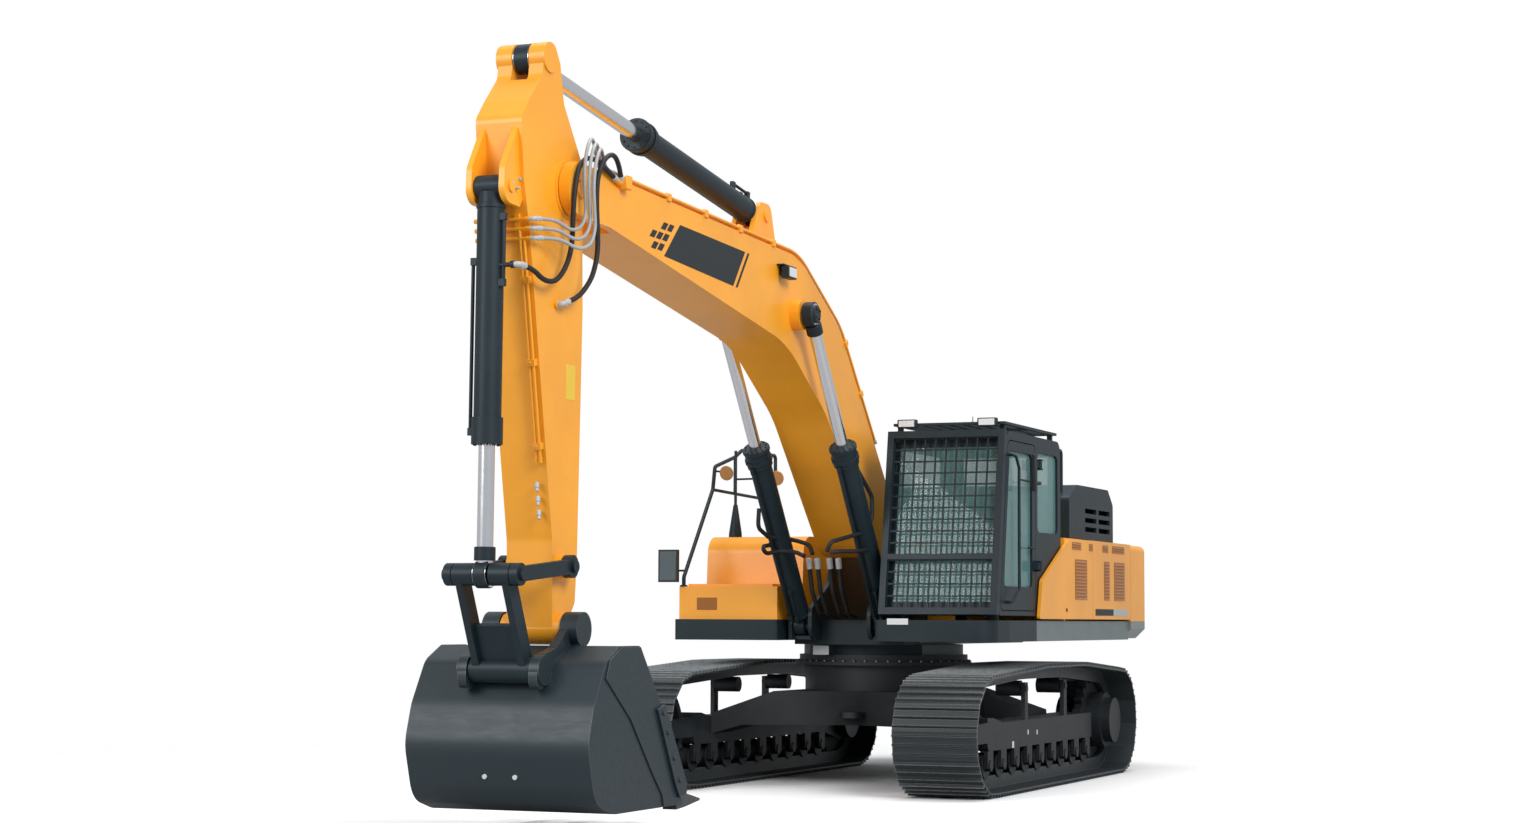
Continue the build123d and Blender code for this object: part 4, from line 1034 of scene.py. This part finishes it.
# %% Boom lamp
lamp_body = [slab(2980, 3150, 274, 338, 4052, 4148), slab(3015, 3115, 238, 276, 4084, 4116),
             slab(2961, 3169, 240, 304, 4152, 4162), slab(3045, 3085, 240, 280, 4110, 4158)]
piece("boom_lamp", lamp_body, "boom", slate_paint, bevel=5)
piece("boom_lamp_lens", [slab(2992, 3138, 336, 343, 4063, 4137)], "boom", lamp_lens, bevel=3)
print("lamp forms", len(lamp_body) + 1)

# %% [markdown]
# ## Plates and marks on the boom and arm
# A dark parallelogram lies along the boom as a bare plate, with a stripe behind it and a stepped group
# of small marks in front. The arm carries a bare yellow label. They are thin prisms that stand two or
# three millimetres proud, since paint on a solid face would need a mask, and a mask has no edge.

# %% Marks
PLATE_LOW = 239
PLATE_HIGH = 242.5
MARK_HIGH = 242
MARK_ROWS = ((0, 1, 2), (0, 1, 2), (1,))
MARK_FIRST = 70
MARK_PITCH = 105
MARK_WIDTH = (75, 3)

plate_outline = np.array([(5016, 4207), (3805, 4170), (4035, 3884), (5288, 3948)], float)
front_top, rear_top, rear_low, front_low = plate_outline
piece("boom_plate", [prism(plate_outline, PLATE_LOW, PLATE_HIGH)], "boom", decal_dark, bevel=1)
stripe = [rear_top + (-50, -2), rear_top + (-84, -3), rear_low + (-84, -3), rear_low + (-50, -2)]
mark_forms = [prism(stripe, PLATE_LOW, MARK_HIGH)]
for column, rows in enumerate(MARK_ROWS):
    for row in rows:
        shift = 0.10 + 0.30 * row
        across = (MARK_FIRST + MARK_PITCH * column, 4)
        a = front_top + (front_low - front_top) * shift + across
        b = front_top + (front_low - front_top) * (shift + 0.20) + across
        mark_forms.append(prism([a, a + MARK_WIDTH, b + MARK_WIDTH, b], PLATE_LOW, MARK_HIGH))
piece("boom_plate_marks", mark_forms, "boom", decal_dark)
piece("arm_label", [slab(6530, 6665, 164, 167, 2829, 3060)], "arm", label_yellow, bevel=1)
print("marks", len(mark_forms))

# %% [markdown]
# ## Grease fittings on the arm
# Bright bolts and a grease nipple sit beside the bucket cylinder's upper pin, and three more fittings
# stand low on the arm's front. Each is a short turned profile, from its foot inside the plate to its tip.

# %% Arm fittings
silver_forms = [bolt((7400, 137, 4149), (0, 1, 0), 13, 14), bolt((7303, 137, 4187), (0, 1, 0), 13, 14),
                turned([(0, 9), (22, 9), (26, 6), (34, 6)], (7350, 137, 4120), (0, 1, 0), 12)]
for distance in (1824, 1734, 1644):
    x, z = spot(arm_top, arm_low, distance, 30)
    silver_forms.append(turned([(-8, 15), (26, 15), (30, 10), (52, 10)], (x, 100, z), (0.3, 0.2, -1.0), 12))
piece("arm_fittings", silver_forms, "arm", zinc)
print("arm fittings", len(silver_forms))

# %% [markdown]
# ## The bucket's wear parts
# A bucket's side plates carry a thicker band along the edge and a bolted cutter at the opening. They
# are flat plates cut to an outline, so each is a prism on the bucket's own side, with a fine bevel. The
# two bright spots on its back stand for small holes, through which the pale ground shows.

# %% Bucket plates
BUCKET_SIDE = edge_of("bucket", "y", 1)
BAND_THICK = 11
CUTTER_THICK = 22
BAND_OUTLINE = [(6530, 1218), (6815, 1218), (6985, 1140), (7044, 1021), (6668, 752), (6354, 418),
                (6177, 246), (6150, 172), (5850, 172), (6140, 760)]
CUTTER_OUTLINE = [(6300, 810), (6185, 838), (5822, 300), (5832, 236), (5935, 215), (6010, 310)]
CUTTER_BOLTS = ((6215, 780), (6140, 650), (6040, 480), (5945, 330))

band_top = BUCKET_SIDE + BAND_THICK
cutter_top = band_top - 1 + CUTTER_THICK
band_forms, cutter_forms, cutter_bolts = [], [], []
for side in (1, -1):
    band_forms.append(prism(BAND_OUTLINE, *sorted((side * (BUCKET_SIDE - 1), side * band_top))))
    cutter_forms.append(prism(CUTTER_OUTLINE, *sorted((side * (band_top - 1), side * cutter_top))))
    cutter_bolts += [bolt((x, side * cutter_top, z), (0, side, 0), 17, 13) for x, z in CUTTER_BOLTS]
hole_forms = [turned([(-12, 15), (1.5, 15)], (7229, y, 400), (1, 0, -0.3), 24) for y in (-100, 115)]
piece("bucket_side_bands", band_forms, "bucket", bucket_steel, bevel=3)
piece("bucket_side_cutters", cutter_forms + cutter_bolts, "bucket", bucket_steel, bevel=3)
piece("bucket_holes", hole_forms, "bucket", bright_spot)
print("bucket plates", len(band_forms) + len(cutter_forms), "bolts", len(cutter_bolts))

# %% [markdown]
# ## The doors' vents
# The doors breathe through pressed louvres. Each vent is a dark back with slanted slats before it, all
# a few millimetres proud of the door, because a thin sheet has no room for a real recess. The dark
# back is painted shade, in place of the shaded recess behind the louvres. The slats are painted a
# darker orange than the door, as the shade among them. A bump in the finish would be lighter, but it
# has no outline and no shadow.

# %% Vents
SLAT_RISE = 9
# Each door has its face, the way it looks, and its vents as x from, x to, z from, z to and slats.
VENTS = {
    "left_front_door": (LEFT_FACE, 1, [(-1036, -642, 1590, 1945, 12), (-842, -546, 2030, 2095, 3),
                                       (-1235, -1114, 2030, 2095, 3)]),
    "left_rear_door": (LEFT_FACE, 1, [(-1822, -1633, 1590, 1945, 12), (-2373, -1993, 1590, 1945, 12),
                                      (-1778, -1583, 2030, 2095, 3), (-2365, -1924, 2030, 2095, 3)]),
    "right_rear_door": (RIGHT_FACE, -1, [(-2380, -1540, 1590, 1940, 12)]),
}


def vent_plate(x0, x1, z0, z1, face, out):
    """The dark back, painted shade of the recess, on the door's face and facing out."""
    return slab(x0, x1, *sorted((face - out, face + out * 1.5)), z0, z1)


def vent_slats(x0, x1, z0, z1, count, face, out):
    """Each slat is a wedge that leans outwards towards its lower edge, one of count steps high."""
    step = (z1 - z0) / count
    forms = []
    for z in z0 + step * np.arange(count):
        outline = [(face - out, z + 0.05 * step), (face + out * SLAT_RISE, z + 0.05 * step),
                   (face + out * SLAT_RISE, z + 0.18 * step), (face - out, z + 0.55 * step)]
        forms.append(prism(outline, x0, x1, "x"))
    return forms


for body, (face, out, rows) in VENTS.items():
    shade_backs = [vent_plate(x0, x1, z0, z1, face, out) for x0, x1, z0, z1, _ in rows]
    slats = [form for row in rows for form in vent_slats(*row, face, out)]
    # The backs and the slats carry painted shade.
    piece(body + "_vent_backs", shade_backs, body, vent_shade_and_plate_brown)
    piece(body + "_vent_slats", slats, body, vent_slat_painted_shade)
print("vents", sum(len(rows) for _, _, rows in VENTS.values()))

# %% [markdown]
# ## Plates on the body
# A dark and a silver bar run along the left rear door, a round lock sits on the front one, and a few
# pale plates are riveted to the deck, the slewing base and the tool box. All are bare. Each starts a
# millimetre inside its face, so that no gap shows between plate and sheet.

# %% Body plates
PLATE_SINK = 1
BAR_Y = (LEFT_FACE - PLATE_SINK, LEFT_FACE + 2)
BAR_Z = (1448, 1508)
deck_front = edge_of("upper_frame", "x", 1)
box_front = edge_of("tool_box", "x", 1)

white_forms = [slab(deck_front - PLATE_SINK, deck_front + 3, 613, 795, 1362, 1412),
               slab(770, 774, -370, -225, 1100, 1178)]
lock = turned([(-1, 17), (4, 17), (6, 13)], (-364, LEFT_FACE, 1494), (0, 1, 0), 20)
piece("body_plate", [slab(-1960, -1326, *BAR_Y, *BAR_Z)], "left_rear_door", decal_dark, bevel=1)
piece("body_plate_light", [slab(-2482, -1965, *BAR_Y, *BAR_Z)], "left_rear_door", silver_plate,
      bevel=1)
piece("door_lock", [lock], "left_front_door", slate_paint)
piece("white_plates", white_forms, "upperstructure", white_plate, bevel=1)
piece("box_plate", [slab(box_front - PLATE_SINK, box_front + 3, -1247, -1059, 1480, 1585)],
      "upperstructure", vent_shade_and_plate_brown, bevel=2)
print("bars on the door at y", BAR_Y, "pale plates", len(white_forms))

# %% [markdown]
# ## Rails and mirror of the cab
# The door has a grab rail with a mirror on it and a bar across, and a second rail stands at the cab's
# rear. Rails are tubes bent round true arcs, with their feet sunk in the wall they are welded to.

# %% Cab rails and mirror
DOOR_RAIL_Y = 1590
DOOR_FOOT_Y = 1525
door_rail = bent([(1235, DOOR_FOOT_Y, 2760), (1235, DOOR_RAIL_Y, 2760), (1140, DOOR_RAIL_Y, 2660),
                  (1140, DOOR_RAIL_Y, 1650), (1330, DOOR_RAIL_Y, 1550), (1330, DOOR_FOOT_Y, 1550)], 34)
cab_rails = [tube(door_rail, 13), tube([(1140, DOOR_RAIL_Y, 2560), (525, DOOR_RAIL_Y, 2560)], 9)]
handle = bent([(560, 1530, 2010), (560, 1560, 2010), (690, 1560, 2010), (690, 1530, 2010)], 12)
rear_rail = bent([(-300, 1500, 2885), (-455, 1500, 2902), (-455, 1500, 2496), (-300, 1500, 2480)], 40)
piece("cab_door_rail", cab_rails, "cab_door", slate_paint)
piece("cab_mirror", [slab(752, 808, 1600, 1636, 2480, 2790), slab(505, 545, DOOR_FOOT_Y, 1599, 2545, 2575)],
      "cab_door", dark_plastic, bevel=8)
piece("cab_door_handle", [tube(handle, 9)], "cab_door", dark_plastic)
piece("cab_rear_rail", [tube(rear_rail, 13)], "upperstructure", slate_paint)
print("cab rails", len(cab_rails) + 1)

# %% [markdown]
# ## Roof lamps and aerial
# The roof guard carries a lamp at each front corner and a short whip aerial. A lamp is a box with its
# bracket and a lens a few millimetres proud of it. The aerial is turned from foot to tip.

# %% Roof lamps and aerial
lamp_forms, lens_forms = [], []
for y in (690, 1385):
    lamp_forms += [slab(1318, 1380, y - 82, y + 82, 2990, 3062), slab(1300, 1340, y - 14, y + 14, 2990, 3034)]
    lens_forms.append(slab(1379, 1384, y - 68, y + 68, 3000, 3052))
aerial = turned([(0, 14), (30, 12), (36, 5), (120, 3)], (540, 1000, 3020), (0, 0, 1), 14)
piece("roof_lamps", lamp_forms, "upperstructure", dark_plastic, bevel=8)
piece("roof_lamp_lenses", lens_forms, "upperstructure", lamp_lens, bevel=3)
piece("aerial", [aerial], "upperstructure", dark_plastic)
print("roof lamps", len(lens_forms))

# %% [markdown]
# ## Rails and mirrors on the right
# The solid handrail along the right side gets its second bar and post, a tapered mast with two round
# mirrors on thin stays, and collars round its feet. The round mirrors are orange-brown, a painted
# reflection. The large side mirror gets a dark glossy pane on its front.

# %% Right rails and mirrors
RIGHT_RAIL_Y = -1380
MAST = [(0, 60), (40, 58), (290, 20), (300, 13), (780, 13)]
right_forms = [tube([(632, RIGHT_RAIL_Y, 2543), (-850, RIGHT_RAIL_Y, 2505)], 14),
               tube([(130, RIGHT_RAIL_Y, 2860), (130, RIGHT_RAIL_Y, 2530)], 12),
               turned(MAST, (300, -1300, 2126), (0, 0, 1), 20),
               tube([(300, -1300, 2650), (300, -925, 2655)], 9),
               tube([(590, RIGHT_RAIL_Y, 2710), (600, -1290, 2700)], 9)]
for x, z in ((1250, 1680), (-850, 2126)):
    right_forms.append(turned([(0, 34), (10, 34), (14, 22)], (x, RIGHT_RAIL_Y, z), (0, 0, 1), 20))
mirror_faces = []
for x, y, z in ((300, -900, 2655), (600, -1260, 2690)):
    mirror_faces.append(turned([(-14, 30), (-8, 58), (6, 66), (12, 62)], (x, y, z), (1, 0, -0.15), 28))
piece("right_rails", right_forms, "upperstructure", slate_paint)
piece("round_mirrors", mirror_faces, "upperstructure", mirror_painted_reflection)
piece("side_mirror_glass", [slab(1344, 1348, -1566, -1414, 1732, 1980)], "upperstructure", mirror_glass,
      bevel=2)
print("right rails", len(right_forms), "round mirrors", len(mirror_faces))

# %% [markdown]
# ## Plates on the track frame
# Three small pale plates sit on the left track frame's outer side. They take that side from the solid
# frame, so they can't float in front of it.

# %% Track plates
frame_side = edge_of("track_frame_left", "y", 1)
track_plates = [slab(x0, x1, frame_side - PLATE_SINK, frame_side + 3, z0, z1)
                for x0, x1, z0, z1 in ((831, 881, 345, 400), (408, 432, 440, 480), (139, 163, 430, 470))]
piece("track_plates", track_plates, "undercarriage", white_plate, bevel=1)
print("track plates", len(track_plates))

# %% [markdown]
# ## Bolts round the slewing ring
# Forty-eight bolts hold the ring to the drum. A circle of points about the upright axis gives their
# places. A six-sided head each is enough, as they are small and many.

# %% Ring bolts
RING_BOLTS = 48
RING_BOLT_CIRCLE = 757
RING_BOLT_Z = 1040
ring_bolts = []
for a in np.linspace(0, 2 * math.pi, RING_BOLTS, endpoint=False):
    place = (RING_BOLT_CIRCLE * math.cos(a), RING_BOLT_CIRCLE * math.sin(a), RING_BOLT_Z)
    ring_bolts.append(bolt(place, (0, 0, 1), 12, 15))
piece("slew_ring_bolts", ring_bolts, "undercarriage", track_steel)
print("ring bolts", len(ring_bolts))

# %% [markdown]
# ## The driver's seat
# Two foam cushions in dark fabric, crowned and softly squared, with a smaller one for the head. A
# ball's points raised to a power give that shape in one step. Cloth simulation suits a slack pad, but
# this foam is stiff. The cushions stand for the plain solid seat, on a turned pedestal.

# %% Seat
SEAT_Y = 1020
SEAT_LEAN = -0.16
PEDESTAL = [(0, 165), (60, 150), (250, 120), (320, 165), (335, 165)]


def pillow(centre, half, softness=0.42, lean=0.0):
    """Each of x, y, z is half * sign(c) * |c| ** softness of a ball's point, then leaned about Y."""
    v = np.radians(np.linspace(-86, 86, 22))[:, None]
    u = np.linspace(0, 2 * math.pi, 40, endpoint=False)[None, :]
    ball = np.stack((np.cos(v) * np.cos(u), np.cos(v) * np.sin(u), np.sin(v) + 0 * u), axis=-1)
    shaped = np.sign(ball) * np.abs(ball) ** softness * np.asarray(half, float)
    c, s = math.cos(lean), math.sin(lean)
    x, y, z = shaped[..., 0], shaped[..., 1], shaped[..., 2]
    return closed_rings(np.stack((c * x + s * z, y, c * z - s * x), axis=-1) + np.asarray(centre, float))


SEAT_PADS = {
    "seat_cushion": pillow((370, SEAT_Y, 1872), (265, 236, 55)),
    "seat_backrest": pillow((75, SEAT_Y, 2170), (62, 215, 300), 0.45, SEAT_LEAN),
    "seat_headrest": pillow((8, SEAT_Y, 2500), (50, 140, 58), 0.5, SEAT_LEAN),
}
for name, form in SEAT_PADS.items():
    pad = piece(name, [form], "upperstructure", seat_fabric)
    if name == "seat_cushion":
        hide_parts("seat")
pedestal = turned(PEDESTAL, (400, SEAT_Y, 1490), (0, 0, 1), 32)
piece("seat_pedestal", [pedestal], "upperstructure", dark_plastic, bevel=3)
print("seat pads", len(SEAT_PADS))

# %% [markdown]
# ## The control sticks
# A stick stands on each console: a rubber boot, a thin stem and a thick grip. All of that is one
# profile turned about a leaning axis.

# %% Control sticks
STICK = [(0, 45), (12, 42), (20, 9), (110, 9), (115, 24), (190, 28), (205, 16)]
sticks = [turned(STICK, (720, y, 2020), (0.12, 0, 1), 20) for y in (1355, 685)]
piece("control_sticks", sticks, "upperstructure", dark_plastic)
print("control sticks", len(sticks))

# %% [markdown]
# ## The floor
# A pale floor fades out a few metres round the machine, so that its shadow stays and its edge doesn't
# show. Camera rays see a near-white floor, and other rays see a darker one, so that it doesn't light
# the machine's underside from below.

# %% Floor
FLOOR_HALF = 90.0
FLOOR_Z = -0.002
FADE_CENTRE = (2.3, 0.0, 0.0)
FADE_FROM, FADE_TO = 6.0, 11.0

floor_mesh = bpy.data.meshes.new("floor")
corners = [(x * FLOOR_HALF, y * FLOOR_HALF, FLOOR_Z) for x, y in ((-1, -1), (1, -1), (1, 1), (-1, 1))]
floor_mesh.from_pydata(corners, [], [(0, 1, 2, 3)])
floor = bpy.data.objects.new("floor", floor_mesh)
bpy.context.scene.collection.objects.link(floor)
floor_finish = Finish("floor")
inputs = {0: floor_finish.place(), 1: FADE_CENTRE}
away = floor_finish.node("ShaderNodeVectorMath", {"operation": "SUBTRACT"}, inputs).out("Vector")
distance = floor_finish.node("ShaderNodeVectorMath", {"operation": "LENGTH"}, {0: away}).out("Value")
by_camera = floor_finish.node("ShaderNodeLightPath").out("Is Camera Ray")
floor_finish.set(base_color=floor_finish.mix(by_camera, (0.42, 0.42, 0.43), (0.97, 0.97, 0.97)))
floor_finish.set(alpha=1 - distance.ramp(FADE_FROM, FADE_TO), roughness=0.9, specular_ior_level=0.1)
floor_mesh.materials.append(floor_finish.material)
print("floor fades from", FADE_FROM, "to", FADE_TO, "m")

# %% [markdown]
# ## The white surround
# The camera, straight or through glass, sees a plain white surround. All other rays see a soft sky of
# about half that strength, so the machine is lit at a level where a colour renders as it is written. One
# bright world for both would wash out the paint.

# %% World
SKY = {"Color": (0.95, 0.97, 1.0, 1), "Strength": 0.55}
WHITE = {"Color": (1, 1, 1, 1), "Strength": 1.0}

world = bpy.data.worlds.new("world")
bpy.context.scene.world = world
world.use_nodes = True
surround = Tree(world.node_tree)
surround.tree.nodes.clear()
rays = surround.node("ShaderNodeLightPath")
seen = rays.out("Is Camera Ray").math("MAXIMUM", rays.out("Is Transmission Ray"))
sky = surround.node("ShaderNodeBackground", {}, SKY).out(0)
white = surround.node("ShaderNodeBackground", {}, WHITE).out(0)
mixed = surround.node("ShaderNodeMixShader", {}, {0: seen, 1: sky, 2: white}).out(0)
surround.node("ShaderNodeOutputWorld", {}, {"Surface": mixed})
print("sky strength", SKY["Strength"])

# %% [markdown]
# ## The lamps
# Three large square lamps give soft edges to the shadows: a key from the front left, a weaker one from
# the front right, and one overhead for the roof lines. Area lamps are chosen over a sun lamp, because
# their size makes the soft highlights along the boom.

# %% Lamps


def studio_lamp(name, place, target, size, watts):
    """A square area lamp at place that looks at target."""
    data = bpy.data.lights.new(name, "AREA")
    data.shape = "SQUARE"
    data.size = size
    data.energy = watts
    lamp = bpy.data.objects.new(name, data)
    bpy.context.scene.collection.objects.link(lamp)
    aim = Vector(target) - Vector(place)
    lamp.matrix_world = Matrix.Translation(place) @ aim.to_track_quat("-Z", "Y").to_matrix().to_4x4()
    return lamp


lamps = [studio_lamp("key_lamp", (14, 16, 14), (2, 0, 2), 9.0, 3200),
         studio_lamp("front_lamp", (22, -8, 9), (4, 0, 2), 9.0, 1500),
         studio_lamp("top_lamp", (0, 0, 16), (1, 0, 1), 10.0, 1500)]
print("lamps", len(lamps))
